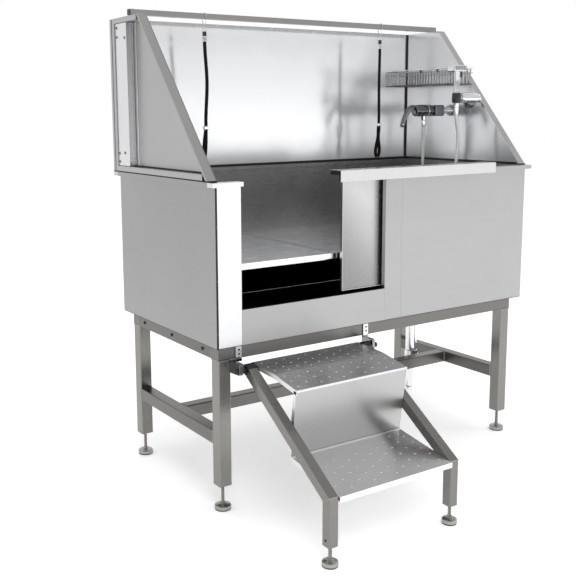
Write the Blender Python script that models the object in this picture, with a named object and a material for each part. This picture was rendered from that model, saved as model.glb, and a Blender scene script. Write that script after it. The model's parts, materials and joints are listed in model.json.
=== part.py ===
"""Stainless steel pet bathtub with fold-up stairs, sliding door, splash walls,
overhead rail with two restraint straps, mixer tap, hand shower and wire rack.

Metres, +Z up, floor at Z = 0.  X runs along the tub (left to right seen from
the front), Y runs from the front (stairs) to the back.  The drawing frame has
its X = 0, Y = 0 at the front left corner of the rim; every piece is shifted by
(-CENTRE_X, -CENTRE_Y) so that the origin is under the middle of the object.
"""
import math

import bmesh
import bpy
from mathutils import Matrix, Vector

# ------------------------------------------------------------------ clearing
for _obj in list(bpy.data.objects):
    bpy.data.objects.remove(_obj, do_unlink=True)
for _mesh in list(bpy.data.meshes):
    bpy.data.meshes.remove(_mesh)

# ---------------------------------------------------------- driving dimensions
LENGTH = 1.270          # rim, left to right (50 in)
DEPTH = 0.635           # rim, front to back (25 in)
RIM_TOP = 0.950         # height of the rim above the floor
RIM_DROP = 0.013        # depth of the folded rim
RIM_WIDTH = 0.030
WALL_IN = 0.015         # tub walls stand this far inside the rim's edge
FRAME_TOP = 0.487       # top of the under-frame
TUBE = 0.040            # under-frame tube, outside
TUBE_WALL = 0.002
SHEET = 0.0015          # stainless sheet
GAP = 0.0003            # between neighbours that touch
LEG_IN = 0.032          # front legs' faces behind the rim's front edge
LEG_LEFT = 0.029        # the same from the rim's left, right and rear edges
LEG_RIGHT = 0.050
LEG_REAR = 0.057
LEG_FOOT = 0.075        # underside of the legs
STRETCH_TOP = 0.235
SPLASH_TOP = 1.430
FOOT_Y = 0.030          # foot of the slanted edge behind the rim's edge
SLANT_Y = 0.430         # top of the slanted edge
POST_Y = 0.010          # slanted post, measured along Y
SIDE_X0, SIDE_X1 = 0.0285, 0.030    # side splash sheet
GASKET = 0.0032
RAIL = 0.018            # overhead square rail
RAIL_Y = 0.485
DOOR_X0, DOOR_X1 = 0.425, 1.078     # door cap at rest (door part open)
OPEN_X0, OPEN_X1 = 0.098, 0.6237    # doorway between the front panels
SILL_TOP = 0.590
PLATE_TOP = 0.712       # raised floor
DRAIN_X, DRAIN_Y = 1.082, 0.375
AXLE_Y, AXLE_Z = -0.008, 0.424      # stair hinge line
AXLE_R = 0.008
STAIR_TUBE = 0.030
STAIR_X0, STAIR_X1 = 0.107, 0.527   # centres of the stair's side frames
STAIR_Y = -0.3765                   # centre of the stair's legs
STAIR_FOOT = 0.055                  # underside of the stair's legs
STAIR_REACH = 0.398                 # stairs in front of the rim
FOOT_TRAVEL = 0.030                 # height adjustment of a levelling foot
TAP_Y, TAP_Z = 0.380, 1.137
SHOWER_X, SHOWER_Y = 1.130, 0.2235
SHOWER_Z = 1.180
HOSE_R = 0.0055
STRAP_X = (0.262, 1.001)

CENTRE_X = LENGTH / 2
CENTRE_Y = (DEPTH - STAIR_REACH) / 2
SHIFT = Vector((-CENTRE_X, -CENTRE_Y, 0.0))
SPLASH_Z = RIM_TOP + GAP + GASKET + GAP     # underside of the splash walls
SLOPE = (SLANT_Y - FOOT_Y) / (SPLASH_TOP - SPLASH_Z)


# ------------------------------------------------------------------ materials
def material(name, colour, rough, metal):
    mat = bpy.data.materials.new(name)
    mat.use_nodes = True
    bsdf = mat.node_tree.nodes["Principled BSDF"]
    bsdf.inputs["Base Color"].default_value = (*colour, 1.0)
    bsdf.inputs["Roughness"].default_value = rough
    bsdf.inputs["Metallic"].default_value = metal
    return mat


PANEL = material("panel_steel", (0.60, 0.60, 0.60), 0.32, 1.0)
FRAME = material("frame_steel", (0.42, 0.41, 0.39), 0.38, 1.0)
CHROME = material("chrome", (0.75, 0.76, 0.77), 0.08, 1.0)
DARK_CHROME = material("dark_chrome", (0.30, 0.31, 0.32), 0.15, 1.0)
RUBBER = material("black_rubber", (0.02, 0.02, 0.02), 0.75, 0.0)
PLASTIC = material("black_plastic", (0.015, 0.015, 0.015), 0.45, 0.0)
WEBBING = material("black_webbing", (0.02, 0.02, 0.022), 0.85, 0.0)
HOSE = material("hose_grey", (0.62, 0.63, 0.62), 0.35, 0.3)
BLACK_STEEL = material("black_steel", (0.03, 0.03, 0.03), 0.45, 0.6)


# -------------------------------------------------------------------- helpers
def finish(name, bm, mat, origin=None, smooth=False, cutter=False):
    """Turns a bmesh in drawing coordinates into an object whose own origin is
    at origin (drawing coordinates too)."""
    origin = Vector(origin) if origin is not None else Vector((CENTRE_X, CENTRE_Y, 0.0))
    bmesh.ops.recalc_face_normals(bm, faces=bm.faces)
    bmesh.ops.translate(bm, verts=bm.verts, vec=-origin)
    mesh = bpy.data.meshes.new(name)
    bm.to_mesh(mesh)
    bm.free()
    obj = bpy.data.objects.new(name, mesh)
    obj.location = origin + SHIFT
    bpy.context.scene.collection.objects.link(obj)
    if mat is not None:
        mesh.materials.append(mat)
    if smooth:
        mesh.shade_smooth()
        mesh.set_sharp_from_angle(angle=math.radians(35))
    if cutter:
        obj.hide_render = True
        obj.display_type = "WIRE"
    return obj


def bm_box(bm, x0, x1, y0, y1, z0, z1):
    corners = [bm.verts.new((x, y, z)) for x in (x0, x1) for y in (y0, y1) for z in (z0, z1)]
    for a, b, c, d in ((0, 1, 3, 2), (4, 6, 7, 5), (0, 4, 5, 1), (2, 3, 7, 6), (0, 2, 6, 4), (1, 5, 7, 3)):
        bm.faces.new((corners[a], corners[b], corners[c], corners[d]))


def box(name, x0, x1, y0, y1, z0, z1, mat, **kw):
    bm = bmesh.new()
    bm_box(bm, x0, x1, y0, y1, z0, z1)
    return finish(name, bm, mat, **kw)


AXES = {"X": (1, 2, 0), "Y": (0, 2, 1), "Z": (0, 1, 2)}


def prism(name, outline, axis, low, high, mat, **kw):
    """Extrudes an outline along axis.  The outline's two numbers are the other
    two coordinates in the order X, Y, Z."""
    bm = bmesh.new()
    i, j, k = AXES[axis]

    def ring(at):
        out = []
        for a, b in outline:
            co = [0.0, 0.0, 0.0]
            co[i], co[j], co[k] = a, b, at
            out.append(bm.verts.new(co))
        return out

    lo, hi = ring(low), ring(high)
    n = len(outline)
    bm.faces.new(lo)
    bm.faces.new(list(reversed(hi)))
    for s in range(n):
        bm.faces.new((lo[s], hi[s], hi[(s + 1) % n], lo[(s + 1) % n]))
    return finish(name, bm, mat, **kw)


def lathe(name, profile, base, direction, mat, segments=16, closed=False, turn=0.0, **kw):
    """Revolves (radius, distance) points about the line through base along
    direction.  An open profile starts and ends on the axis (radius 0); a closed
    one makes a ring."""
    base, direction = Vector(base), Vector(direction).normalized()
    side = direction.orthogonal().normalized()
    if abs(direction.z) > 0.999:
        side = Vector((1, 0, 0))
    elif abs(direction.x) > 0.999:
        side = Vector((0, 1, 0))
    elif abs(direction.y) > 0.999:
        side = Vector((1, 0, 0))
    other = direction.cross(side)
    bm = bmesh.new()
    rings = []
    for radius, dist in profile:
        if radius < 1e-7:
            rings.append([bm.verts.new(base + direction * dist)])
            continue
        ring = []
        for s in range(segments):
            a = turn + 2 * math.pi * s / segments
            ring.append(bm.verts.new(base + direction * dist + side * (radius * math.cos(a)) + other * (radius * math.sin(a))))
        rings.append(ring)
    pairs = list(zip(rings, rings[1:]))
    if closed:
        pairs.append((rings[-1], rings[0]))
    for one, two in pairs:
        for s in range(segments):
            t = (s + 1) % segments
            if len(one) == 1 and len(two) == 1:
                continue
            if len(one) == 1:
                bm.faces.new((one[0], two[t], two[s]))
            elif len(two) == 1:
                bm.faces.new((one[s], one[t], two[0]))
            else:
                bm.faces.new((one[s], one[t], two[t], two[s]))
    return finish(name, bm, mat, smooth=segments > 6, **kw)


def square_tube(name, base, direction, length, outer, wall, mat, **kw):
    """Open-ended square tube; outer is its width across the flats."""
    ro = outer / 2 * math.sqrt(2)
    ri = (outer / 2 - wall) * math.sqrt(2)
    return lathe(name, [(ro, 0.0), (ro, length), (ri, length), (ri, 0.0)], base, direction, mat,
                 segments=4, closed=True, turn=math.pi / 4, **kw)


def boolean(obj, operation, other):
    mod = obj.modifiers.new(operation.lower(), "BOOLEAN")
    mod.operation = operation
    mod.solver = "EXACT"
    mod.object = other


def unite(name, boxes, mat, **kw):
    """One solid from several overlapping boxes."""
    main = box(name, *boxes[0], mat, **kw)
    rest = bpy.data.collections.new(name + "_boxes")
    bpy.context.scene.collection.children.link(rest)
    for number, limits in enumerate(boxes[1:]):
        extra = box(f"{name}_add{number}", *limits, None, cutter=True)
        bpy.context.scene.collection.objects.unlink(extra)
        rest.objects.link(extra)
    mod = main.modifiers.new("union", "BOOLEAN")
    mod.operation = "UNION"
    mod.solver = "EXACT"
    mod.operand_type = "COLLECTION"
    mod.collection = rest
    return main


def strip(points, thick):
    """Outline of a folded sheet: the given polyline and the same line moved
    down-left of its direction by thick, with mitred corners."""
    pts = [Vector(p) for p in points]
    inner = []
    for n, p in enumerate(pts):
        dirs = []
        if n > 0:
            dirs.append((pts[n] - pts[n - 1]).normalized())
        if n < len(pts) - 1:
            dirs.append((pts[n + 1] - pts[n]).normalized())
        normals = [Vector((-d.y, d.x)) for d in dirs]
        if len(normals) == 2:
            mid = (normals[0] + normals[1]).normalized()
            inner.append(p + mid * (thick / mid.dot(normals[0])))
        else:
            inner.append(p + normals[0] * thick)
    return [tuple(p) for p in pts] + [tuple(p) for p in reversed(inner)]


def circle(cx, cy, r, count, start=0.0, end=2 * math.pi):
    full = abs(end - start - 2 * math.pi) < 1e-9
    steps = count if full else count - 1
    return [(cx + r * math.cos(start + (end - start) * n / steps),
             cy + r * math.sin(start + (end - start) * n / steps)) for n in range(count)]


# ---------------------------------------------------------------- under-frame
def leg(name, cx, cy, outer, z0, z1, mat, **kw):
    """Square tube leg with a foot plate that has the hole of the foot's stem."""
    half, inside, hole = outer / 2, outer / 2 - TUBE_WALL, 0.0068
    k = math.sqrt(2)
    return lathe(name, [(half * k, 0.0), (half * k, z1 - z0), (inside * k, z1 - z0),
                        (inside * k, 0.006), (hole * k, 0.006), (hole * k, 0.0)],
                 (cx, cy, z0), (0, 0, 1), mat, segments=4, closed=True, turn=math.pi / 4, **kw)


def foot(name, cx, cy, stem_top, radius):
    """Levelling foot: rubber-soled cup and threaded stem in one piece."""
    return lathe(name, [(0, 0), (radius - 0.002, 0), (radius, 0.002), (radius, 0.0120),
                        (radius * 0.86, 0.0150), (0.008, 0.0170), (0.005, 0.0190), (0.005, stem_top), (0, stem_top)],
                 (cx, cy, 0), (0, 0, 1), CHROME, segments=16, origin=(cx, cy, 0))


leg_z1 = FRAME_TOP - TUBE - GAP
lx0, lx1 = LEG_LEFT + TUBE / 2, LENGTH - LEG_RIGHT - TUBE / 2
ly0, ly1 = LEG_IN + TUBE / 2, DEPTH - LEG_REAR - TUBE / 2
for tag, cx, cy in (("front_left", lx0, ly0), ("front_right", lx1, ly0), ("rear_left", lx0, ly1), ("rear_right", lx1, ly1)):
    leg("leg_" + tag, cx, cy, TUBE, LEG_FOOT, leg_z1, FRAME)
    foot("foot_" + tag, cx, cy, LEG_FOOT + 0.024, 0.0245)

rz = FRAME_TOP - TUBE / 2
square_tube("upper_rail_front", (LEG_LEFT, ly0, rz), (1, 0, 0), LENGTH - LEG_LEFT - LEG_RIGHT, TUBE, TUBE_WALL, FRAME)
square_tube("upper_rail_rear", (LEG_LEFT, ly1, rz), (1, 0, 0), LENGTH - LEG_LEFT - LEG_RIGHT, TUBE, TUBE_WALL, FRAME)
side_len = ly1 - ly0 - TUBE - 2 * GAP
for tag, cx in (("left", lx0), ("right", lx1)):
    square_tube("upper_rail_" + tag, (cx, ly0 + TUBE / 2 + GAP, rz), (0, 1, 0), side_len, TUBE, TUBE_WALL, FRAME)
    square_tube("stretcher_" + tag, (cx, ly0 + TUBE / 2 + GAP, STRETCH_TOP - TUBE / 2), (0, 1, 0), side_len, TUBE, TUBE_WALL, FRAME)
square_tube("stretcher_centre", (lx0 + TUBE / 2 + GAP, DEPTH / 2, STRETCH_TOP - TUBE / 2), (1, 0, 0),
            lx1 - lx0 - TUBE - 2 * GAP, TUBE, TUBE_WALL, FRAME)

# ------------------------------------------------------------------------ tub
pan_z0 = FRAME_TOP + GAP
pan_z1 = pan_z0 + SHEET
pan = box("floor_pan", WALL_IN, LENGTH - WALL_IN, WALL_IN, DEPTH - WALL_IN, pan_z0, pan_z1, PANEL)
boolean(pan, "DIFFERENCE", lathe("pan_hole", [(0, -0.02), (0.0283, -0.02), (0.0283, 0.02), (0, 0.02)],
                                 (DRAIN_X, DRAIN_Y, pan_z0), (0, 0, 1), None, segments=20, cutter=True))

wz0 = pan_z1 + GAP
rim_z0 = RIM_TOP - RIM_DROP
lap = 0.001                       # how far a wall reaches into its rim
inner = WALL_IN + SHEET
for tag, flip in (("left", False), ("right", True)):
    boxes = [(WALL_IN, inner, inner + GAP, DEPTH - inner - GAP, wz0, rim_z0 - GAP),
             (WALL_IN, inner, RIM_WIDTH + 2 * GAP, DEPTH - RIM_WIDTH - 2 * GAP, rim_z0 - lap, rim_z0 + lap),
             (0.0, RIM_WIDTH, RIM_WIDTH + GAP, DEPTH - RIM_WIDTH - GAP, rim_z0, RIM_TOP)]
    if flip:
        boxes = [(LENGTH - b[1], LENGTH - b[0], *b[2:]) for b in boxes]
    unite(tag + "_wall", boxes, PANEL)
ledge_z1 = PLATE_TOP - 0.016 - GAP
unite("rear_wall", [(WALL_IN, LENGTH - WALL_IN, DEPTH - inner, DEPTH - WALL_IN, wz0, rim_z0 + lap),
                    (0.0, LENGTH, DEPTH - RIM_WIDTH, DEPTH, rim_z0, RIM_TOP),
                    (0.030, LENGTH - 0.030, DEPTH - 0.042, DEPTH - inner + 0.0005, ledge_z1 - SHEET, ledge_z1)], PANEL)
unite("front_left_post", [(0.022, OPEN_X0, WALL_IN, inner, wz0, rim_z0 + lap),
                          (0.0, OPEN_X0, 0.0, RIM_WIDTH, rim_z0, RIM_TOP),
                          (OPEN_X0 - SHEET, OPEN_X0, WALL_IN + 0.0005, 0.0300, SILL_TOP + GAP, rim_z0 + lap)], PANEL)
unite("front_right_panel", [(OPEN_X1, LENGTH - WALL_IN, WALL_IN, inner, wz0, rim_z0 + lap),
                            (OPEN_X1, LENGTH, 0.0, RIM_WIDTH, rim_z0, RIM_TOP),
                            (OPEN_X1, OPEN_X1 + SHEET, WALL_IN + 0.0005, 0.0300, SILL_TOP + GAP, rim_z0 + lap)], PANEL)
unite("sill_panel", [(OPEN_X0 + GAP, OPEN_X1 - GAP, WALL_IN, inner, wz0, SILL_TOP),
                     (OPEN_X0 + GAP, OPEN_X1 - GAP, WALL_IN + 0.0002, 0.0300, SILL_TOP - SHEET, SILL_TOP - 0.0001)], PANEL)

# raised floor on its supports
box("floor_support_front", inner + GAP, LENGTH - inner - GAP, 0.075, 0.095, PLATE_TOP - SHEET - GAP - 0.020, PLATE_TOP - SHEET - GAP, PANEL)
plate_y0, plate_y1 = 0.060, 0.6165
for tag, x0, x1 in (("left", 0.0205, 0.4620), ("right", 0.4680, 1.2490)):
    z0 = PLATE_TOP - 0.016
    outline = [(plate_y0, z0), (plate_y0, PLATE_TOP), (plate_y1, PLATE_TOP), (plate_y1, z0),
               (plate_y1 - SHEET, z0), (plate_y1 - SHEET, PLATE_TOP - SHEET),
               (plate_y0 + SHEET, PLATE_TOP - SHEET), (plate_y0 + SHEET, z0)]
    prism("floor_plate_" + tag, outline, "X", x0, x1, PANEL, origin=((x0 + x1) / 2, (plate_y0 + plate_y1) / 2, PLATE_TOP))

# --------------------------------------------------------------- sliding door
door_y0, door_y1 = 0.0405, 0.0420
cap_z0, cap_z1 = 0.933, 0.9665
door_x0, door_x1 = DOOR_X0 + 0.042, DOOR_X1 - 0.010
unite("sliding_door", [(door_x0, door_x1, door_y0, door_y1, 0.5985, cap_z1 - 0.0005),
                       (DOOR_X0, DOOR_X1, -0.0120, door_y1 + 0.0004, cap_z1 - 0.002, cap_z1),
                       (DOOR_X0, DOOR_X1, -0.0121, -0.0100, cap_z0, cap_z1 - 0.0003),
                       (door_x0 + 0.0001, door_x1 - 0.0001, door_y0 - 0.009, door_y1 - 0.0004, 0.5984, 0.6000),
                       (door_x0 - 0.0001, door_x0 + 0.0014, door_y0 - 0.0092, door_y1 - 0.0003, 0.5986, 0.9300)], PANEL,
      origin=((DOOR_X0 + DOOR_X1) / 2, door_y0, cap_z1))

# --------------------------------------------------------------- splash walls
def slanted_post(name, x0, x1):
    """Leaning post folded from sheet: hollow, closed at its top and open where
    it stands on the gasket."""
    inset = SHEET * math.sqrt(1 + SLOPE * SLOPE)
    bm = bmesh.new()

    def ring(xa, xb, ya, yb, z):
        lean = SLOPE * (z - SPLASH_Z)
        return [bm.verts.new((x, y + lean, z)) for x, y in ((xa, ya), (xb, ya), (xb, yb), (xa, yb))]

    y0, y1 = FOOT_Y, FOOT_Y + POST_Y
    outer = ring(x0, x1, y0, y1, SPLASH_Z), ring(x0, x1, y0, y1, SPLASH_TOP)
    inner = (ring(x0 + SHEET, x1 - SHEET, y0 + inset, y1 - inset, SPLASH_Z),
             ring(x0 + SHEET, x1 - SHEET, y0 + inset, y1 - inset, SPLASH_TOP - SHEET))
    for low, high in (outer, inner, (outer[0], inner[0])):
        for s in range(4):
            t = (s + 1) % 4
            bm.faces.new((low[s], low[t], high[t], high[s]))
    bm.faces.new(outer[1])
    bm.faces.new(inner[1])
    return finish(name, bm, PANEL)


g0, g1 = RIM_TOP + GAP, RIM_TOP + GAP + GASKET
prism("splash_gasket", [(0.0, FOOT_Y - 0.004), (0.030, FOOT_Y - 0.004), (0.030, 0.597), (LENGTH - 0.030, 0.597),
                        (LENGTH - 0.030, FOOT_Y - 0.004), (LENGTH, FOOT_Y - 0.004), (LENGTH, DEPTH), (0.0, DEPTH)], "Z", g0, g1, RUBBER)
bx0, bx1 = RIM_WIDTH + GAP, LENGTH - RIM_WIDTH - GAP
by0, by1 = 0.600, 0.634
prism("back_splash_panel", [(by1, SPLASH_Z), (by0, SPLASH_Z), (by0, SPLASH_TOP), (by1, SPLASH_TOP),
                            (by1, SPLASH_TOP - SHEET), (by0 + SHEET, SPLASH_TOP - SHEET),
                            (by0 + SHEET, SPLASH_Z + SHEET), (by1, SPLASH_Z + SHEET)], "X", bx0, bx1, PANEL)
for tag, flip in (("left", False), ("right", True)):
    def span(a, b):
        return (LENGTH - b, LENGTH - a) if flip else (a, b)
    lo, hi = span(0.0, SIDE_X0 - GAP)
    slanted_post(tag + "_slanted_post", lo, hi)
    # side sheet with outward lips, folded into an angle at its rear edge
    side = prism(tag + "_splash_panel", [(FOOT_Y, SPLASH_Z), (by0 + 0.0008, SPLASH_Z), (by0 + 0.0008, SPLASH_TOP),
                                         (SLANT_Y, SPLASH_TOP)], "X", *span(SIDE_X0, SIDE_X1), PANEL)
    rest = bpy.data.collections.new(tag + "_lips")
    bpy.context.scene.collection.children.link(rest)
    for part, xa, xb, y0, y1, z0, z1 in (
            ("low", 0.0, SIDE_X0 + 0.0005, FOOT_Y + POST_Y + 0.016, by0 + 0.0005, SPLASH_Z + 0.0001, SPLASH_Z + 0.016),
            ("top", 0.0, SIDE_X0 + 0.0005, SLANT_Y + POST_Y + 0.001, by0 + 0.0005, SPLASH_TOP - 0.016, SPLASH_TOP - 0.0001),
            ("post", 0.0002, SIDE_X1 - 0.0002, by0, by0 + SHEET, SPLASH_Z + 0.0002, SPLASH_TOP - 0.0002),
            ("edge", 0.0002, 0.0002 + SHEET, by0 + 0.0004, by1, SPLASH_Z + 0.0003, SPLASH_TOP - 0.0003)):
        lip = box(f"{tag}_lip_{part}", *span(xa, xb), y0, y1, z0, z1, None, cutter=True)
        bpy.context.scene.collection.objects.unlink(lip)
        rest.objects.link(lip)
    mod = side.modifiers.new("lips", "BOOLEAN")
    mod.operation, mod.solver, mod.operand_type, mod.collection = "UNION", "EXACT", "COLLECTION", rest

# -------------------------------------------------------------- overhead rail
rail_z0 = SPLASH_TOP + GAP
square_tube("overhead_rail", (0.0, RAIL_Y, rail_z0 + RAIL / 2), (1, 0, 0), LENGTH, RAIL, 0.0015, PANEL)
for tag, x, way in (("left", 0.0, -1), ("right", LENGTH, 1)):
    lathe("rail_cap_" + tag, [(0, -0.010), (0.0070 * math.sqrt(2), -0.010), (0.0070 * math.sqrt(2), GAP),
                              (0.0089 * math.sqrt(2), GAP), (0.0089 * math.sqrt(2), 0.003), (0, 0.003)],
          (x, RAIL_Y, rail_z0 + RAIL / 2), (way, 0, 0), PLASTIC, segments=4, turn=math.pi / 4)


# --------------------------------------------------------------------- straps
def strap(tag, x, loop_wide, loop_low):
    top = rail_z0 + RAIL + 0.0004
    yo, yi, leg_z = RAIL / 2 + 0.0035, RAIL / 2 + 0.0005, 1.398
    outline = [(RAIL_Y - yi, leg_z + 0.012), (RAIL_Y - yi, top), (RAIL_Y + yi, top), (RAIL_Y + yi, leg_z + 0.020),
               (RAIL_Y + yo, leg_z + 0.020), (RAIL_Y + yo, top + 0.003), (RAIL_Y - yo, top + 0.003),
               (RAIL_Y - yo, leg_z + 0.009), (RAIL_Y - 0.004, leg_z), (RAIL_Y + 0.004, leg_z), (RAIL_Y + 0.004, leg_z + 0.003),
               (RAIL_Y - 0.0028, leg_z + 0.003)]
    prism(f"strap_hook_{tag}", outline, "X", x - 0.009, x + 0.009, CHROME, origin=(x, RAIL_Y, top))
    z = leg_z - 2 * GAP
    cx, half = x, loop_wide / 2
    body = [(cx - 0.0085, z - 0.0100), (cx - 0.0085, 1.094),
            (cx - 0.0105, 1.092), (cx - 0.0105, 1.080), (cx - half, 1.055), (cx - half, loop_low + 0.020),
            (cx - half * 0.5, loop_low), (cx + half * 0.5, loop_low), (cx + half, loop_low + 0.020), (cx + half, 1.055),
            (cx + 0.0105, 1.080), (cx + 0.0105, 1.092), (cx + 0.0085, 1.094), (cx + 0.0085, z - 0.0100)]
    piece = prism(f"strap_{tag}", body, "Y", RAIL_Y - 0.0025, RAIL_Y + 0.0025, WEBBING, origin=(x, RAIL_Y, leg_z))
    # the swivel end narrows upwards so that it can swing under its hook
    swivel = [(RAIL_Y - 0.0027, z - 0.0140), (RAIL_Y - 0.0027, z - 0.0080), (RAIL_Y - 0.0002, z),
              (RAIL_Y + 0.0002, z), (RAIL_Y + 0.0027, z - 0.0080), (RAIL_Y + 0.0027, z - 0.0140)]
    boolean(piece, "UNION", prism(f"strap_{tag}_swivel", swivel, "X", cx - 0.011, cx + 0.011, None, cutter=True))
    w = half - 0.004
    hole = [(cx - 0.002, 1.074), (cx - w, 1.052), (cx - w, loop_low + 0.021), (cx - w * 0.45, loop_low + 0.004),
            (cx + w * 0.45, loop_low + 0.004), (cx + w, loop_low + 0.021), (cx + w, 1.052), (cx + 0.002, 1.074)]
    boolean(piece, "DIFFERENCE", prism(f"strap_{tag}_eye", hole, "Y", RAIL_Y - 0.01, RAIL_Y + 0.01, None, cutter=True))


strap("left", STRAP_X[0], 0.024, 0.990)
strap("right", STRAP_X[1], 0.032, 0.969)

# ------------------------------------------------------------------ mixer tap
wall_x = LENGTH - SIDE_X1 - GAP          # inner face of the right splash wall
block = box("mixer_body", 1.168, wall_x, TAP_Y - 0.021, TAP_Y + 0.021, TAP_Z - 0.021, TAP_Z + 0.021, DARK_CHROME)
barrel = lathe("mixer_barrel", [(0, 0), (0.0215, 0), (0.0215, 0.058), (0.0165, 0.064), (0.0165, 0.074), (0, 0.074)],
               (1.0985, TAP_Y, TAP_Z), (1, 0, 0), None, segments=20, cutter=True)
boolean(block, "UNION", barrel)
OUTLET_X, OUTLET_Z = 1.124, 1.101
boolean(block, "UNION", lathe("mixer_outlet", [(0, 0), (0.0095, 0), (0.0095, 0.024), (0, 0.024)],
                              (OUTLET_X, TAP_Y, OUTLET_Z), (0, 0, 1), None, segments=12, cutter=True))
lathe("mixer_cap", [(0, 0), (0.017, 0), (0.0205, 0.004), (0.0205, 0.0202), (0, 0.0202)],
      (1.0780, TAP_Y, TAP_Z), (1, 0, 0), DARK_CHROME, segments=20, origin=(1.0780, TAP_Y, TAP_Z))
hub_x, hub_z, hub_r = 1.0672, 1.148, 0.0100
hub = circle(hub_x, hub_z, hub_r, 12, math.radians(-70), math.radians(130))
lever = hub + [(1.0475, 1.149), (1.0330, 1.130), (1.0220, 1.107), (1.0140, 1.080),
               (1.0255, 1.077), (1.0340, 1.101), (1.0450, 1.120), (1.0580, 1.134)]
prism("mixer_lever", lever, "Y", TAP_Y - 0.0075, TAP_Y + 0.0075, DARK_CHROME, origin=(hub_x, TAP_Y, hub_z))

# ---------------------------------------------------------------- hand shower
holder_end = LENGTH - SIDE_X1 - GAP
lathe("shower_bracket", [(0, 0), (0.0120, 0), (0.0185, 0.012), (0.0185, 0.078), (0.0150, 0.084), (0.0150, holder_end - (SHOWER_X + 0.0185)), (0, holder_end - (SHOWER_X + 0.0185))],
      (SHOWER_X + 0.0185, SHOWER_Y, SHOWER_Z), (1, 0, 0), CHROME, segments=20)
ring = lathe("shower_cradle", [(0.0128, -0.018), (0.0160, -0.020), (0.0180, 0.0), (0.0175, 0.020), (0.0128, 0.020)],
             (SHOWER_X, SHOWER_Y, SHOWER_Z), (0, 0, 1), PLASTIC, segments=20, closed=True)
boolean(ring, "DIFFERENCE", box("cradle_slot", SHOWER_X - 0.03, SHOWER_X, SHOWER_Y - 0.0075, SHOWER_Y + 0.0075,
                                SHOWER_Z - 0.04, SHOWER_Z + 0.04, None, cutter=True))
hand_z0 = 1.148
hand = lathe("hand_shower", [(0, 0), (0.0095, 0), (0.0095, 0.014), (0.0118, 0.016), (0.0118, 0.056), (0.0100, 0.062),
                             (0.0105, 0.126), (0, 0.126)], (SHOWER_X, SHOWER_Y, hand_z0), (0, 0, 1), CHROME, segments=16,
             origin=(SHOWER_X, SHOWER_Y, hand_z0))
boolean(hand, "UNION", box("hand_head", SHOWER_X - 0.031, SHOWER_X + 0.031, SHOWER_Y - 0.019, SHOWER_Y + 0.019,
                           hand_z0 + 0.122, hand_z0 + 0.145, None, cutter=True))


# ----------------------------------------------------------------------- hose
def smooth_path(knots, spacing):
    """Even points along a centripetal Catmull-Rom curve through the knots."""
    pts = [Vector(k) for k in knots]
    pts = [2 * pts[0] - pts[1]] + pts + [2 * pts[-1] - pts[-2]]
    fine = []
    for n in range(1, len(pts) - 2):
        p0, p1, p2, p3 = pts[n - 1:n + 3]
        t0 = 0.0
        t1 = t0 + (p1 - p0).length ** 0.5
        t2 = t1 + (p2 - p1).length ** 0.5
        t3 = t2 + (p3 - p2).length ** 0.5
        for s in range(40):
            t = t1 + (t2 - t1) * s / 40
            a1 = p0 * ((t1 - t) / (t1 - t0)) + p1 * ((t - t0) / (t1 - t0))
            a2 = p1 * ((t2 - t) / (t2 - t1)) + p2 * ((t - t1) / (t2 - t1))
            a3 = p2 * ((t3 - t) / (t3 - t2)) + p3 * ((t - t2) / (t3 - t2))
            b1 = a1 * ((t2 - t) / (t2 - t0)) + a2 * ((t - t0) / (t2 - t0))
            b2 = a2 * ((t3 - t) / (t3 - t1)) + a3 * ((t - t1) / (t3 - t1))
            fine.append(b1 * ((t2 - t) / (t2 - t1)) + b2 * ((t - t1) / (t2 - t1)))
    fine.append(pts[-2])
    total = sum((b - a).length for a, b in zip(fine, fine[1:]))
    count = max(2, round(total / spacing))
    step, out, run, goal = total / count, [fine[0]], 0.0, total / count
    for a, b in zip(fine, fine[1:]):
        length = (b - a).length
        while run + length >= goal - 1e-9 and len(out) < count:
            out.append(a.lerp(b, (goal - run) / length))
            goal += step
        run += length
    out.append(fine[-1])
    return out


LIE = PLATE_TOP + HOSE_R + 0.0008       # centre height of the hose on the raised floor
HOSE_KNOTS = [(OUTLET_X, TAP_Y, OUTLET_Z - GAP), (OUTLET_X, TAP_Y, 1.060), (1.127, 0.381, 0.960), (1.125, 0.384, 0.830),
              (1.105, 0.390, 0.755), (1.055, 0.400, LIE + 0.004), (0.985, 0.408, LIE), (0.900, 0.395, LIE), (0.858, 0.330, LIE), (0.880, 0.255, LIE),
              (0.950, 0.215, LIE), (1.030, 0.205, LIE + 0.003), (1.088, 0.203, 0.750), (1.116, 0.209, 0.830), (1.130, 0.217, 0.950),
              (1.143, 0.2235, 1.045), (SHOWER_X, SHOWER_Y, 1.115), (SHOWER_X, SHOWER_Y, hand_z0 - GAP)]
path = smooth_path(HOSE_KNOTS, 0.030)
curve = bpy.data.curves.new("shower_hose", "CURVE")
curve.dimensions = "3D"
spline = curve.splines.new("POLY")
spline.points.add(len(path) - 1)
for point, co in zip(spline.points, path):
    point.co = (*(co + SHIFT), 1.0)
curve.bevel_depth = HOSE_R
curve.bevel_resolution = 2
curve.use_fill_caps = True
curve.materials.append(HOSE)
hose = bpy.data.objects.new("shower_hose", curve)
bpy.context.scene.collection.objects.link(hose)

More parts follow.
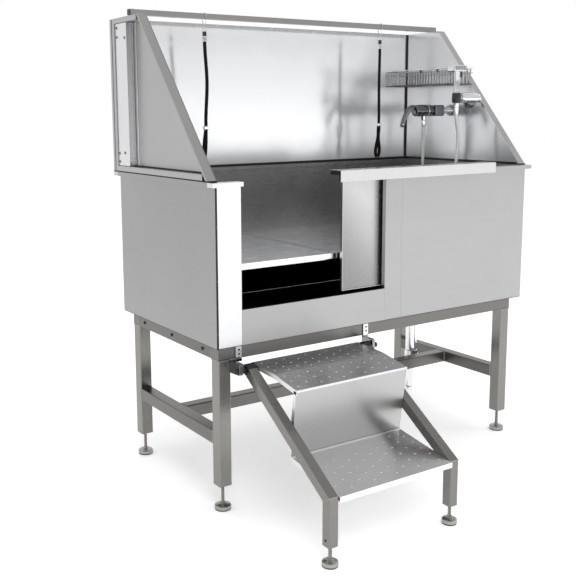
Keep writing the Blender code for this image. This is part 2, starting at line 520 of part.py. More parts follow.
# ------------------------------------------------------------------ wire rack
rx0, rx1, ry0, ry1, rz0, rz1, w = 1.122, LENGTH - RIM_WIDTH - 2 * GAP, 0.245, 0.595, 1.228, 1.287, 0.004
bars = [(rx0, rx0 + w, ry0, ry1, rz1 - w, rz1), (rx1 - w, rx1, ry0, ry1, rz1 - w, rz1),
        (rx0, rx1, ry0, ry0 + w, rz1 - w, rz1), (rx0, rx1, ry1 - w, ry1, rz1 - w, rz1),
        (rx0, rx0 + w, ry0, ry1, rz0, rz0 + w), (rx1 - w, rx1, ry0, ry1, rz0, rz0 + w),
        (rx0, rx1, ry0, ry0 + w, rz0, rz0 + w), (rx0, rx1, ry1 - w, ry1, rz0, rz0 + w)]
count = 12
for n in range(count + 1):
    y = ry0 + (ry1 - ry0 - w) * n / count
    if 0 < n < count:
        bars.append((rx0 + 0.0005, rx1 - 0.0005, y, y + w, rz0 + 0.0004, rz0 + w - 0.0004))
    for x in ((rx0, rx1 - w) if n % 2 == 0 else (rx0,)):
        bars.append((x + 0.0003, x + w - 0.0003, y + 0.0002, y + w - 0.0002, rz0 + 0.0006, rz1 - 0.0006))
for n in (1, 2, 3):
    for y in (ry0, ry1 - w):
        x = rx0 + (rx1 - rx0 - w) * n / 4
        bars.append((x, x + w, y + 0.0003, y + w - 0.0003, rz0 + 0.0007, rz1 - 0.0007))
unite("wire_rack", bars, CHROME)

# ---------------------------------------------------------------------- drain
strainer = lathe("drain_strainer", [(0, -0.006), (0.0180, -0.006), (0.0236, -0.001), (0.0248, 0.0020), (0, 0.0034)],
                 (DRAIN_X, DRAIN_Y, pan_z1 + GAP), (0, 0, 1), CHROME, segments=20, origin=(DRAIN_X, DRAIN_Y, pan_z1))
slots = bpy.data.collections.new("strainer_slots")
bpy.context.scene.collection.children.link(slots)
for n in (-2, -1, 0, 1, 2):
    half = 0.0125 - 0.0018 * abs(n)
    slot = box(f"strainer_slot{n + 2}", DRAIN_X + n * 0.0058 - 0.0013, DRAIN_X + n * 0.0058 + 0.0013, DRAIN_Y - half, DRAIN_Y + half,
               pan_z1 - 0.03, pan_z1 + 0.03, None, cutter=True)
    bpy.context.scene.collection.objects.unlink(slot)
    slots.objects.link(slot)
mod = strainer.modifiers.new("slots", "BOOLEAN")
mod.operation, mod.solver, mod.operand_type, mod.collection = "DIFFERENCE", "EXACT", "COLLECTION", slots
pipe_top = pan_z1 + GAP
lathe("drain_pipe", [(0.0380, 0.0), (0.0370, 0.0020), (0.0252, 0.0020), (0.0185, -0.0240), (0.0185, -0.2720), (0.0165, -0.2840),
                     (0.0145, -0.2940), (0.0170, -0.2940), (0.0235, -0.2880), (0.0235, -0.2700), (0.0208, -0.2680), (0.0208, -0.0300),
                     (0.0276, -0.0270), (0.0276, 0.0)],
      (DRAIN_X, DRAIN_Y, pipe_top), (0, 0, 1), CHROME, segments=20, closed=True)
hose_top = Vector((DRAIN_X, DRAIN_Y, pipe_top - 0.2965))
lathe("drain_tail", [(0.0145, 0.0), (0.0135, -0.020), (0.0135, -0.092), (0.0155, -0.094), (0.0155, -0.108), (0.0112, -0.108), (0.0112, 0.0)],
      hose_top, (0.10, 0, 1), CHROME, segments=16, closed=True)

# --------------------------------------------------------------------- stairs
HINGE = (CENTRE_X, AXLE_Y, AXLE_Z)
run_y, run_z = STAIR_Y - AXLE_Y, 0.180 - AXLE_Z
run = math.hypot(run_y, run_z)
uy, uz = run_y / run, run_z / run          # down the stringer
ny, nz = -uz, uy                           # square to it, pointing down and back
if nz > 0:
    ny, nz = -ny, -nz
half = STAIR_TUBE / 2
leg_top = 0.158
front = STAIR_Y - half


def along(dist, off):
    return (AXLE_Y + uy * dist + ny * off, AXLE_Z + uz * dist + nz * off)


for tag, cx in (("left", STAIR_X0), ("right", STAIR_X1)):
    # eye round the axle, slanted bar, then the vertical leg
    start = math.atan2(nz, ny)
    eye = [(AXLE_Y + 0.0165 * math.cos(start + math.pi * n / 8), AXLE_Z + 0.0165 * math.sin(start + math.pi * n / 8)) for n in range(9)]
    if (eye[4][0] - AXLE_Y) * uy + (eye[4][1] - AXLE_Z) * uz > 0:
        eye = [(AXLE_Y + 0.0165 * math.cos(start - math.pi * n / 8), AXLE_Z + 0.0165 * math.sin(start - math.pi * n / 8)) for n in range(9)]
    # eye runs from the lower side round the back to the upper side
    up_at = (front - (AXLE_Y - ny * half)) / uy
    low_at = (STAIR_Y + half - (AXLE_Y + ny * half)) / uy
    outline = eye + [along(0.020, -half), along(up_at, -half), (front, leg_top), (STAIR_Y + half, leg_top), along(low_at, half), along(0.020, half)]
    rail_piece = prism("stair_stringer_" + tag, outline, "X", cx - half + GAP, cx + half - GAP, FRAME, origin=HINGE)
    boolean(rail_piece, "DIFFERENCE", lathe(f"stringer_bore_{tag}", [(0, -0.05), (AXLE_R + GAP, -0.05), (AXLE_R + GAP, 0.05), (0, 0.05)],
                                            (cx, AXLE_Y, AXLE_Z), (1, 0, 0), None, segments=16, cutter=True))
    boolean(rail_piece, "UNION", leg("stair_leg_" + tag, cx, STAIR_Y, STAIR_TUBE - 2 * GAP, STAIR_FOOT, leg_top + 0.0006, None, cutter=True))
    foot("foot_stair_" + tag, cx, STAIR_Y, STAIR_FOOT + 0.022, 0.0215)

tx0, tx1 = STAIR_X0 + half + GAP, STAIR_X1 - half - GAP
upper = [(0.008, 0.4372), (-0.110, 0.4310), (-0.212, 0.4120)]
prism("stair_tread_upper", strip(upper, 0.0025), "X", tx0, tx1, PANEL, origin=HINGE)
prism("stair_riser", strip([(-0.2115, 0.4080), (-0.1860, 0.2206)], 0.0025), "X", tx0, tx1, PANEL, origin=HINGE)
prism("stair_tread_lower", strip([(-0.1860, 0.2200), (-0.3975, 0.1880), (-0.3975, 0.1730)], 0.0025), "X", tx0, tx1, PANEL, origin=HINGE)
lathe("stair_axle", [(0, 0), (AXLE_R, 0), (AXLE_R, 0.508), (0, 0.508)], (0.063, AXLE_Y, AXLE_Z), (1, 0, 0), BLACK_STEEL,
      segments=16, origin=HINGE)
for tag, x0, x1 in (("left", 0.0660, 0.0800), ("right", 0.5470, 0.5570)):
    y1 = LEG_IN - GAP
    plate = prism("hinge_bracket_" + tag, [(y1, 0.484), (y1 - 0.003, 0.484), (y1 - 0.003, 0.446), (-0.017, 0.446), (-0.0205, 0.440), (-0.0205, 0.420), (-0.016, 0.4125), (y1, 0.4105)],
                  "X", x0, x1, DARK_CHROME)
    boolean(plate, "DIFFERENCE", lathe(f"bracket_bore_{tag}", [(0, -0.05), (AXLE_R + GAP, -0.05), (AXLE_R + GAP, 0.05), (0, 0.05)],
                                       ((x0 + x1) / 2, AXLE_Y, AXLE_Z), (1, 0, 0), None, segments=16, cutter=True))
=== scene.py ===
"""Looks of the stainless steel pet bathtub: bevelled sheet metal, brushed and
polished finishes, webbing straps, hose and the small fittings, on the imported
CAD frame."""
import math

import bmesh
import bpy
from mathutils import Matrix, Vector, noise
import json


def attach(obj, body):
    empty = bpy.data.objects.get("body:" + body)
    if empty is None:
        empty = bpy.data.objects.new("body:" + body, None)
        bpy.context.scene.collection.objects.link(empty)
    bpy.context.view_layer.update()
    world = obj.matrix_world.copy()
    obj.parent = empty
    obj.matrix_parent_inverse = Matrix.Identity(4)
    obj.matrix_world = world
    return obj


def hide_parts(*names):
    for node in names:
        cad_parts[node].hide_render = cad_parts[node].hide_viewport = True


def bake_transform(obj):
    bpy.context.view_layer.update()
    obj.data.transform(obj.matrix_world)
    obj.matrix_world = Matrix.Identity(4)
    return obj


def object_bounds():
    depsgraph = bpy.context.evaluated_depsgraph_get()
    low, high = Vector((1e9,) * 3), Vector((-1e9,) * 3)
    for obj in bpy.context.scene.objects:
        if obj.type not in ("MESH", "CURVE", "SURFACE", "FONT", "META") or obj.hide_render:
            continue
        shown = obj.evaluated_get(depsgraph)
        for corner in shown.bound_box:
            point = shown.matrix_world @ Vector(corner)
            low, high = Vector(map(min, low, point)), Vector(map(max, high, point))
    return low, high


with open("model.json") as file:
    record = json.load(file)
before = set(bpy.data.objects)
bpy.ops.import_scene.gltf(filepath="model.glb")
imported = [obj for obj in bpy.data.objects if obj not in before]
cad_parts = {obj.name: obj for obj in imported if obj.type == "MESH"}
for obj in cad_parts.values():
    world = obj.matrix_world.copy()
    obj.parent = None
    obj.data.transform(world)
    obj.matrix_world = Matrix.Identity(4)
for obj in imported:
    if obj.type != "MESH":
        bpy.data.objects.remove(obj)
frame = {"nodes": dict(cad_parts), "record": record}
NODES = frame["nodes"]
RECORD = frame["record"]
BODY = {n: b for b, names in RECORD["behaviour"]["bodies"].items() for n in names}
CAD_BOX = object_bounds()
SCENE = bpy.context.scene

# drawing frame (front left corner of the rim) to row frame
OFF = Vector((-0.635, -0.1185, 0.0))


def D(x, y, z):
    return Vector((x, y, z)) + OFF


# ---------------------------------------------------------------- camera
YAW, PITCH, ROLL = 0.57175, 0.15679, -0.00842
FWD = Vector((math.sin(YAW) * math.cos(PITCH), math.cos(YAW) * math.cos(PITCH), -math.sin(PITCH)))
RIGHT = Vector((math.cos(YAW), -math.sin(YAW), 0.0))
UP = RIGHT.cross(FWD)
R2 = RIGHT * math.cos(ROLL) + UP * math.sin(ROLL)
U2 = UP * math.cos(ROLL) - RIGHT * math.sin(ROLL)
cam_data = bpy.data.cameras.new("camera")
cam_data.sensor_width = 36.0
cam_data.sensor_fit = "HORIZONTAL"
cam_data.lens = 870.47 * 36.0 / 576.0
cam_data.shift_x = 38.0 / 576.0
cam_data.shift_y = -38.0 / 576.0
cam_data.clip_end = 200.0
camera = bpy.data.objects.new("camera", cam_data)
SCENE.collection.objects.link(camera)
rot = Matrix((R2, U2, -FWD)).transposed().to_4x4()
camera.matrix_world = Matrix.Translation(D(-1.16835, -1.99670, 1.13584)) @ rot
SCENE.camera = camera


# ------------------------------------------------------------- materials
def _new(name):
    mat = bpy.data.materials.new(name)
    mat.use_nodes = True
    nt = mat.node_tree
    bsdf = nt.nodes["Principled BSDF"]
    coord = nt.nodes.new("ShaderNodeTexCoord")
    return mat, nt, bsdf, coord


def _noise(nt, vector, scale, detail=3.0, rough=0.55, mapping=None):
    node = nt.nodes.new("ShaderNodeTexNoise")
    node.inputs["Scale"].default_value = scale
    node.inputs["Detail"].default_value = detail
    node.inputs["Roughness"].default_value = rough
    if mapping is not None:
        mp = nt.nodes.new("ShaderNodeMapping")
        mp.inputs["Scale"].default_value = mapping
        nt.links.new(vector, mp.inputs["Vector"])
        vector = mp.outputs["Vector"]
    nt.links.new(vector, node.inputs["Vector"])
    return node.outputs["Fac"]


def _range(nt, value, lo, hi, a=0.3, b=0.7):
    node = nt.nodes.new("ShaderNodeMapRange")
    node.inputs["From Min"].default_value = a
    node.inputs["From Max"].default_value = b
    node.inputs["To Min"].default_value = lo
    node.inputs["To Max"].default_value = hi
    nt.links.new(value, node.inputs["Value"])
    return node.outputs["Result"]


def _math(nt, op, a, b):
    node = nt.nodes.new("ShaderNodeMath")
    node.operation = op
    for n, v in enumerate((a, b)):
        if isinstance(v, (int, float)):
            node.inputs[n].default_value = v
        else:
            nt.links.new(v, node.inputs[n])
    return node.outputs[0]


def _tint(nt, base, factor):
    node = nt.nodes.new("ShaderNodeVectorMath")
    node.operation = "SCALE"
    if isinstance(base, tuple):
        node.inputs[0].default_value = base
    else:
        nt.links.new(base, node.inputs[0])
    nt.links.new(factor, node.inputs["Scale"])
    return node.outputs[0]


def _bump(nt, height, strength, distance):
    node = nt.nodes.new("ShaderNodeBump")
    node.inputs["Strength"].default_value = strength
    node.inputs["Distance"].default_value = distance
    nt.links.new(height, node.inputs["Height"])
    return node.outputs["Normal"]


def steel(name, base, rough=0.27, grain="X", aniso=0.6, contrast=0.022, smudge=0.03, shade_below=None, coarse=1.0, bump=0.03):
    """Brushed stainless: long fine scratches along grain, soft smudges, and a
    reflection drawn out across the grain.  The (height, colour, roughness)
    triple paints shade, near black and rougher, on what lies below that height."""
    mat, nt, bsdf, coord = _new(name)
    obj = coord.outputs["Object"]
    fine = {"X": (1.2, 260, 260), "Y": (260, 1.2, 260), "Z": (260, 260, 1.2)}[grain]
    long = {"X": (0.35, 55, 55), "Y": (55, 0.35, 55), "Z": (55, 55, 0.35)}[grain]
    g1 = _noise(nt, obj, 3.2 * coarse, 4.0, 0.65, fine)
    g2 = _noise(nt, obj, 2.2 * coarse, 2.0, 0.5, long)
    cloud = _noise(nt, obj, 3.1, 3.0, 0.5)
    spots = _noise(nt, obj, 17.0, 3.0, 0.6)
    f = _math(nt, "MULTIPLY", _range(nt, g1, 1 - contrast, 1 + contrast), _range(nt, g2, 1 - contrast * 0.6, 1 + contrast * 0.6))
    f = _math(nt, "MULTIPLY", f, _range(nt, cloud, 1 - smudge, 1 + smudge))
    colour = _tint(nt, tuple(base), f)
    roughness = _math(nt, "ADD", _range(nt, g1, rough - 0.015, rough + 0.02), _range(nt, spots, -0.01, 0.015, 0.35, 0.75))
    if shade_below is not None:
        height, shade_colour, shade_rough = shade_below
        sep = nt.nodes.new("ShaderNodeSeparateXYZ")
        nt.links.new(obj, sep.inputs[0])
        # painted shade mask: 1 below the height, 0 above
        low = _range(nt, sep.outputs["Z"], 1.0, 0.0, height - 0.004, height + 0.004)
        mix = nt.nodes.new("ShaderNodeMix")
        mix.data_type = "RGBA"
        nt.links.new(low, mix.inputs["Factor"])
        nt.links.new(colour, mix.inputs["A"])
        mix.inputs["B"].default_value = (*shade_colour, 1)
        colour = mix.outputs["Result"]
        mixr = nt.nodes.new("ShaderNodeMix")
        nt.links.new(low, mixr.inputs["Factor"])
        nt.links.new(roughness, mixr.inputs["A"])
        mixr.inputs["B"].default_value = shade_rough
        roughness = mixr.outputs["Result"]
    nt.links.new(colour, bsdf.inputs["Base Color"])
    nt.links.new(roughness, bsdf.inputs["Roughness"])
    bsdf.inputs["Metallic"].default_value = 1.0
    bsdf.inputs["Anisotropic"].default_value = aniso
    bsdf.inputs["Anisotropic Rotation"].default_value = 0.25
    vec = nt.nodes.new("ShaderNodeVectorTransform")
    vec.vector_type = "VECTOR"
    vec.convert_from, vec.convert_to = "OBJECT", "WORLD"
    vec.inputs[0].default_value = {"X": (1, 0.002, 0.003), "Y": (0.002, 1, 0.003), "Z": (0.002, 0.003, 1)}[grain]
    nt.links.new(vec.outputs[0], bsdf.inputs["Tangent"])
    nt.links.new(_bump(nt, g1, bump, 0.0004), bsdf.inputs["Normal"])
    return mat


def plain(name, base, rough, metal=0.0, speckle=900.0, bump=0.1, depth=0.0002, vary=0.08, rvary=0.08, coat=0.0):
    mat, nt, bsdf, coord = _new(name)
    obj = coord.outputs["Object"]
    fine = _noise(nt, obj, speckle, 2.0)
    cloud = _noise(nt, obj, 24.0, 4.0)
    nt.links.new(_tint(nt, tuple(base), _range(nt, cloud, 1 - vary, 1 + vary)), bsdf.inputs["Base Color"])
    nt.links.new(_range(nt, cloud, max(0.02, rough - rvary), min(1.0, rough + rvary)), bsdf.inputs["Roughness"])
    bsdf.inputs["Metallic"].default_value = metal
    bsdf.inputs["Coat Weight"].default_value = coat
    nt.links.new(_bump(nt, fine, bump, depth), bsdf.inputs["Normal"])
    return mat


def webbing(name):
    mat, nt, bsdf, coord = _new(name)
    obj = coord.outputs["Object"]
    wave = nt.nodes.new("ShaderNodeTexWave")
    wave.wave_type, wave.bands_direction = "BANDS", "Z"
    wave.inputs["Scale"].default_value = 160.0
    wave.inputs["Distortion"].default_value = 1.5
    wave.inputs["Detail"].default_value = 2.0
    nt.links.new(obj, wave.inputs["Vector"])
    cross = nt.nodes.new("ShaderNodeTexWave")
    cross.wave_type, cross.bands_direction = "BANDS", "X"
    cross.inputs["Scale"].default_value = 130.0
    nt.links.new(obj, cross.inputs["Vector"])
    weave = _math(nt, "MULTIPLY", wave.outputs["Fac"], cross.outputs["Fac"])
    nt.links.new(_tint(nt, (0.0045, 0.0045, 0.005), _range(nt, weave, 0.6, 1.9, 0, 1)), bsdf.inputs["Base Color"])
    bsdf.inputs["Roughness"].default_value = 0.9
    bsdf.inputs["Specular IOR Level"].default_value = 0.25
    nt.links.new(_bump(nt, weave, 0.6, 0.0006), bsdf.inputs["Normal"])
    return mat


def hose_finish(name):
    mat, nt, bsdf, coord = _new(name)
    obj = coord.outputs["Object"]
    wave = nt.nodes.new("ShaderNodeTexWave")
    wave.wave_type, wave.bands_direction = "BANDS", "Z"
    wave.inputs["Scale"].default_value = 95.0
    nt.links.new(obj, wave.inputs["Vector"])
    cloud = _noise(nt, obj, 40.0)
    nt.links.new(_tint(nt, (0.60, 0.61, 0.60), _range(nt, cloud, 0.92, 1.08)), bsdf.inputs["Base Color"])
    nt.links.new(_range(nt, cloud, 0.26, 0.42), bsdf.inputs["Roughness"])
    bsdf.inputs["Metallic"].default_value = 0.35
    bsdf.inputs["Coat Weight"].default_value = 0.4
    nt.links.new(_bump(nt, wave.outputs["Fac"], 0.35, 0.0006), bsdf.inputs["Normal"])
    return mat


# Copies of one brushed stainless steel: their base colours are set part by part to paint the light and shade each
# surface shows, from the near-white BACK, PLATE and TREAD_LOW (painted light) to the dark PAN and frame tubes (painted
# shade).
FRONT = steel("steel_front", (0.425, 0.425, 0.425), 0.30, "X", bump=0.004, contrast=0.014, smudge=0.02)
POST = steel("steel_post", (0.72, 0.723, 0.73), 0.26, "Z", bump=0.002, contrast=0.006, smudge=0.01)
BACK = steel("steel_back", (0.95, 0.955, 0.965), 0.17, "X", bump=0.002, contrast=0.008, smudge=0.012)
RSIDE = steel("steel_right_splash", (0.70, 0.703, 0.71), 0.18, "Y", bump=0.002, contrast=0.008, smudge=0.012)
# splash walls and lower tub walls: one steel, the lower walls darker as painted shade
SIDE = steel("steel_side", (0.42, 0.42, 0.42), 0.33, "Y", bump=0.004, contrast=0.010, smudge=0.02)
SIDE_LOW = steel("steel_side_low", (0.330, 0.330, 0.328), 0.33, "Y", bump=0.004, contrast=0.014, smudge=0.02)
# inner faces of the rear wall, with painted shade below the floor plates' height
INSIDE = steel("steel_inside", (0.55, 0.55, 0.552), 0.28, "X", shade_below=(0.694, (0.018, 0.018, 0.018), 0.55), bump=0.004, contrast=0.012)
# the floor pan under the plates: dark as painted shade
PAN = steel("steel_pan", (0.12, 0.12, 0.12), 0.45, "X")
PLATE = steel("steel_plate", (0.92, 0.925, 0.935), 0.26, "X", bump=0.004, contrast=0.012)
DOOR = steel("steel_door", (0.56, 0.56, 0.562), 0.27, "Z", bump=0.004, contrast=0.012, smudge=0.02)
# left and right slanted posts: the same part, the right one lighter as painted light
LEAN = steel("steel_lean", (0.40, 0.40, 0.392), 0.28, "Z", bump=0.006, contrast=0.012)
LEAN_R = steel("steel_lean_right", (0.50, 0.50, 0.495), 0.28, "Z", bump=0.006, contrast=0.012)
RAIL = steel("steel_rail", (0.365, 0.362, 0.352), 0.22, "X", bump=0.006, contrast=0.012)
# frame tubes coloured by their direction: painted light and shade on tubes along X, Y, Z and the slope
TUBE_X = steel("frame_x", (0.190, 0.184, 0.174), 0.30, "X", contrast=0.035, bump=0.015)
TUBE_Y = steel("frame_y", (0.155, 0.150, 0.142), 0.30, "Y", contrast=0.035, bump=0.015)
TUBE_Z = steel("frame_z", (0.250, 0.241, 0.228), 0.28, "Z", contrast=0.035, bump=0.015)
TUBE_SLOPE = steel("frame_slope", (0.225, 0.218, 0.207), 0.28, "Y", contrast=0.035, bump=0.015)
# upper tread, riser and lower tread: one stamped sheet, each face coloured for the light on it, the lower tread
# brightest as painted light
TREAD = steel("steel_tread", (0.72, 0.723, 0.728), 0.26, "X", bump=0.004, contrast=0.010, smudge=0.015)
RISER = steel("steel_riser", (0.47, 0.47, 0.467), 0.24, "X", bump=0.002, contrast=0.008, smudge=0.012)
TREAD_LOW = steel("steel_tread_low", (0.97, 0.973, 0.978), 0.25, "X", bump=0.004, contrast=0.010, smudge=0.015)
# the back and right splash copies are partly non-metallic, so the lamps light their pale base colours more evenly
for material, share in ((BACK, 0.70), (RSIDE, 0.97)):
    for shader in material.node_tree.nodes:
        if shader.type == "BSDF_PRINCIPLED":
            shader.inputs["Metallic"].default_value = share
WELD = plain("weld_bead", (0.42, 0.39, 0.35), 0.38, 1.0, speckle=500, bump=0.5, depth=0.0006, vary=0.2)
CHROME = plain("chrome", (0.78, 0.79, 0.80), 0.10, 1.0, speckle=60, bump=0.02, vary=0.03, rvary=0.04)
DIMPLE = plain("dimple_bright", (0.80, 0.80, 0.81), 0.20, 1.0, speckle=300, bump=0.03, vary=0.03)
# the rack is one chrome wire: darker chrome copies for the wires and the bottom loop paint shade, and the top loop in
# plain chrome paints its highlight
RACK_WIRE = plain("rack_wire", (0.42, 0.42, 0.425), 0.22, 1.0, speckle=90, bump=0.02, vary=0.05)
RACK_RAIL = plain("rack_rail", (0.16, 0.16, 0.165), 0.20, 1.0, speckle=90, bump=0.02, vary=0.05)
DARK_CHROME = plain("dark_chrome", (0.17, 0.173, 0.180), 0.14, 1.0, speckle=80, bump=0.03, vary=0.06)
FOOT_METAL = plain("foot_metal", (0.38, 0.37, 0.345), 0.28, 1.0, speckle=200, bump=0.05, vary=0.08)
RUBBER = plain("black_rubber", (0.012, 0.012, 0.012), 0.70, 0.0, speckle=700, bump=0.25, depth=0.0003)
PLASTIC = plain("black_plastic", (0.016, 0.016, 0.017), 0.38, 0.0, speckle=1200, bump=0.12)
WHITE_PLASTIC = plain("pale_plastic", (0.80, 0.80, 0.79), 0.30, 0.0, speckle=900, bump=0.05, vary=0.03, coat=0.4)
BLACK_STEEL = plain("black_steel", (0.03, 0.03, 0.032), 0.32, 0.6, speckle=500, bump=0.2)
# near black: painted shade standing for the dark insides of holes and slots
HOLE = plain("hole_painted_shade", (0.01, 0.01, 0.01), 0.8, 0.0)
WEB = webbing("black_webbing")
HOSE = hose_finish("hose_grey")


# --------------------------------------------------------------- helpers
def publish(name, bm, mat, body, replaces=(), smooth=35.0, recalc=True):
    if recalc:
        bmesh.ops.recalc_face_normals(bm, faces=bm.faces)
    mesh = bpy.data.meshes.new(name)
    bm.to_mesh(mesh)
    bm.free()
    mesh.materials.append(mat)
    mesh.shade_smooth()
    mesh.set_sharp_from_angle(angle=math.radians(smooth))
    obj = bpy.data.objects.new(name, mesh)
    SCENE.collection.objects.link(obj)
    if body:
        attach(obj, body)
    if replaces:
        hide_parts(*replaces)
    return obj


def rounding(obj, width, segments=2, angle=30.0):
    mod = obj.modifiers.new("edge_rounding", "BEVEL")
    mod.width = width
    mod.segments = segments
    mod.limit_method = "ANGLE"
    mod.angle_limit = math.radians(angle)
    mod.harden_normals = True
    mod.use_clamp_overlap = True
    return obj


def weighted(obj):
    """Keeps the flats of a rounded tube looking flat."""
    mod = obj.modifiers.new("flat_faces", "WEIGHTED_NORMAL")
    mod.weight = 100
    mod.keep_sharp = True
    return obj


def refine(node, mat, width=0.0006, segments=2, name=None):
    """A piece with the node's own shape, its flat faces whole again and its
    edges rounded."""
    bm = bmesh.new()
    bm.from_mesh(NODES[node].data)
    bmesh.ops.remove_doubles(bm, verts=bm.verts, dist=2e-6)
    bmesh.ops.dissolve_limit(bm, angle_limit=math.radians(1.0), verts=bm.verts, edges=bm.edges, delimit={"NORMAL"})
    obj = publish(name or ("v_" + node), bm, mat, BODY[node], (node,))
    return rounding(obj, width, segments)


def bm_box(bm, x0, x1, y0, y1, z0, z1):
    c = [bm.verts.new(D(x, y, z)) for x in (x0, x1) for y in (y0, y1) for z in (z0, z1)]
    for a, b, d, e in ((0, 1, 3, 2), (4, 6, 7, 5), (0, 4, 5, 1), (2, 3, 7, 6), (0, 2, 6, 4), (1, 5, 7, 3)):
        bm.faces.new((c[a], c[b], c[d], c[e]))


def box_piece(name, boxes, mat, body, width=0.0008, replaces=(), segments=2):
    bm = bmesh.new()
    for b in boxes:
        bm_box(bm, *b)
    obj = publish(name, bm, mat, body, replaces)
    if width:
        rounding(obj, width, segments)
    return obj


def rounded_rect(w, h, r, n=4):
    pts = []
    for cx, cy, a0 in ((w / 2 - r, h / 2 - r, 0), (-w / 2 + r, h / 2 - r, 90), (-w / 2 + r, -h / 2 + r, 180), (w / 2 - r, -h / 2 + r, 270)):
        for s in range(n + 1):
            a = math.radians(a0 + 90.0 * s / n)
            pts.append((cx + r * math.cos(a), cy + r * math.sin(a)))
    return pts


def ring_faces(bm, one, two):
    n = len(one)
    for s in range(n):
        t = (s + 1) % n
        bm.faces.new((one[s], one[t], two[t], two[s]))


def bm_tube(bm, base, direction, length, w, h, r, wall, side=None):
    """Open square tube with round corners."""
    direction = Vector(direction).normalized()
    side = Vector(side) if side else (Vector((0, 0, 1)) if abs(direction.z) < 0.9 else Vector((1, 0, 0)))
    other = direction.cross(side).normalized()
    side = other.cross(direction).normalized()
    base = Vector(base)
    outer, inner = rounded_rect(w, h, r), rounded_rect(w - 2 * wall, h - 2 * wall, max(r - wall, 0.0006))
    rings = []
    for pts, at, shrink in ((outer, 0.0, 0), (outer, length, 0), (inner, length, 0), (inner, 0.0, 0)):
        rings.append([bm.verts.new(base + direction * at + other * a + side * b) for a, b in pts])
    for k in range(4):
        ring_faces(bm, rings[k], rings[(k + 1) % 4])


def bead(bm, centre, direction, w, h, r, size=0.0017, seed=0.0):
    """Weld bead round a tube's end."""
    direction = Vector(direction).normalized()
    side = Vector((0, 0, 1)) if abs(direction.z) < 0.9 else Vector((1, 0, 0))
    other = direction.cross(side).normalized()
    pts = []
    outline = rounded_rect(w, h, r, 3)
    for (a, b), (c, d) in zip(outline, outline[1:] + outline[:1]):
        steps = max(1, int(math.hypot(c - a, d - b) / 0.0045))
        for s in range(steps):
            pts.append((a + (c - a) * s / steps, b + (d - b) * s / steps))
    rings = []
    for n, (a, b) in enumerate(pts):
        out = (other * a + side * b).normalized()
        wob = 1.0 + 0.22 * math.sin(n * 2.1 + seed)
        c = Vector(centre) + other * a + side * b
        rings.append([bm.verts.new(c + (out * math.cos(t) + direction * math.sin(t)) * size * wob) for t in [2 * math.pi * k / 6 for k in range(6)]])
    for one, two in zip(rings, rings[1:] + rings[:1]):
        ring_faces(bm, one, two)


def bm_lathe(bm, profile, base, direction, segments=32, closed=False, turn=0.0):
    base, direction = Vector(base), Vector(direction).normalized()
    side = direction.orthogonal().normalized()
    other = direction.cross(side)
    rings = []
    for radius, dist in profile:
        if radius < 1e-7:
            rings.append([bm.verts.new(base + direction * dist)])
        else:
            rings.append([bm.verts.new(base + direction * dist + side * (radius * math.cos(turn + 2 * math.pi * s / segments))
                                       + other * (radius * math.sin(turn + 2 * math.pi * s / segments))) for s in range(segments)])
    pairs = list(zip(rings, rings[1:]))
    if closed:
        pairs.append((rings[-1], rings[0]))
    for one, two in pairs:
        for s in range(segments):
            t = (s + 1) % segments
            if len(one) == 1 and len(two) == 1:
                continue
            if len(one) == 1:
                bm.faces.new((one[0], two[t], two[s]))
            elif len(two) == 1:
                bm.faces.new((one[s], one[t], two[0]))
            else:
                bm.faces.new((one[s], one[t], two[t], two[s]))


def lathe_piece(name, profile, base, direction, mat, body, segments=32, replaces=(), closed=False, turn=0.0, smooth=35.0):
    bm = bmesh.new()
    bm_lathe(bm, profile, base, direction, segments, closed, turn)
    return publish(name, bm, mat, body, replaces, smooth)


def bm_sweep(bm, path, radius, segments=12, closed=False):
    """Round bar along a path of points."""
    pts = [Vector(p) for p in path]
    n = len(pts)
    rings = []
    side = None
    for k, p in enumerate(pts):
        a = pts[k - 1] if (k > 0 or closed) else p
        b = pts[(k + 1) % n] if (k < n - 1 or closed) else p
        d = (b - a).normalized()
        if side is None:
            side = d.orthogonal().normalized()
        side = (side - d * side.dot(d)).normalized()
        other = d.cross(side)
        rings.append([bm.verts.new(p + (side * math.cos(2 * math.pi * s / segments) + other * math.sin(2 * math.pi * s / segments)) * radius) for s in range(segments)])
    pairs = list(zip(rings, rings[1:]))
    if closed:
        pairs.append((rings[-1], rings[0]))
    else:
        bm.faces.new(rings[0])
        bm.faces.new(list(reversed(rings[-1])))
    if closed:
        # untwist the last joint
        first, last = rings[0], rings[-1]
        best = min(range(segments), key=lambda s: (first[s].co - last[0].co).length)
        rolled = first[best:] + first[:best]
        for one, two in pairs[:-1]:
            ring_faces(bm, one, two)
        ring_faces(bm, last, rolled)
    else:
        for one, two in pairs:
            ring_faces(bm, one, two)


def fillet(points, radius, steps=5):
    """Corner-rounded polyline."""
    pts = [Vector(p) for p in points]
    out = [pts[0]]
    for a, b, c in zip(pts, pts[1:], pts[2:]):
        u, v = (a - b), (c - b)
        r = min(radius, u.length * 0.49, v.length * 0.49)
        p, q = b + u.normalized() * r, b + v.normalized() * r
        for s in range(steps + 1):
            t = s / steps
            out.append(p * (1 - t) ** 2 + b * (2 * t * (1 - t)) + q * t ** 2)
    out.append(pts[-1])
    return out


def bm_ribbon(bm, path, sides, width, thick):
    """Flat band along a path; sides are the directions across it."""
    rings = []
    n = len(path)
    for k, (p, s) in enumerate(zip(path, sides)):
        a, b = path[max(0, k - 1)], path[min(n - 1, k + 1)]
        d = (Vector(b) - Vector(a)).normalized()
        s = (Vector(s) - d * Vector(s).dot(d)).normalized()
        o = d.cross(s)
        prof = rounded_rect(width, thick, thick * 0.45, 2)
        rings.append([bm.verts.new(Vector(p) + s * x + o * y) for x, y in prof])
    bm.faces.new(rings[0])
    bm.faces.new(list(reversed(rings[-1])))
    for one, two in zip(rings, rings[1:]):
        ring_faces(bm, one, two)


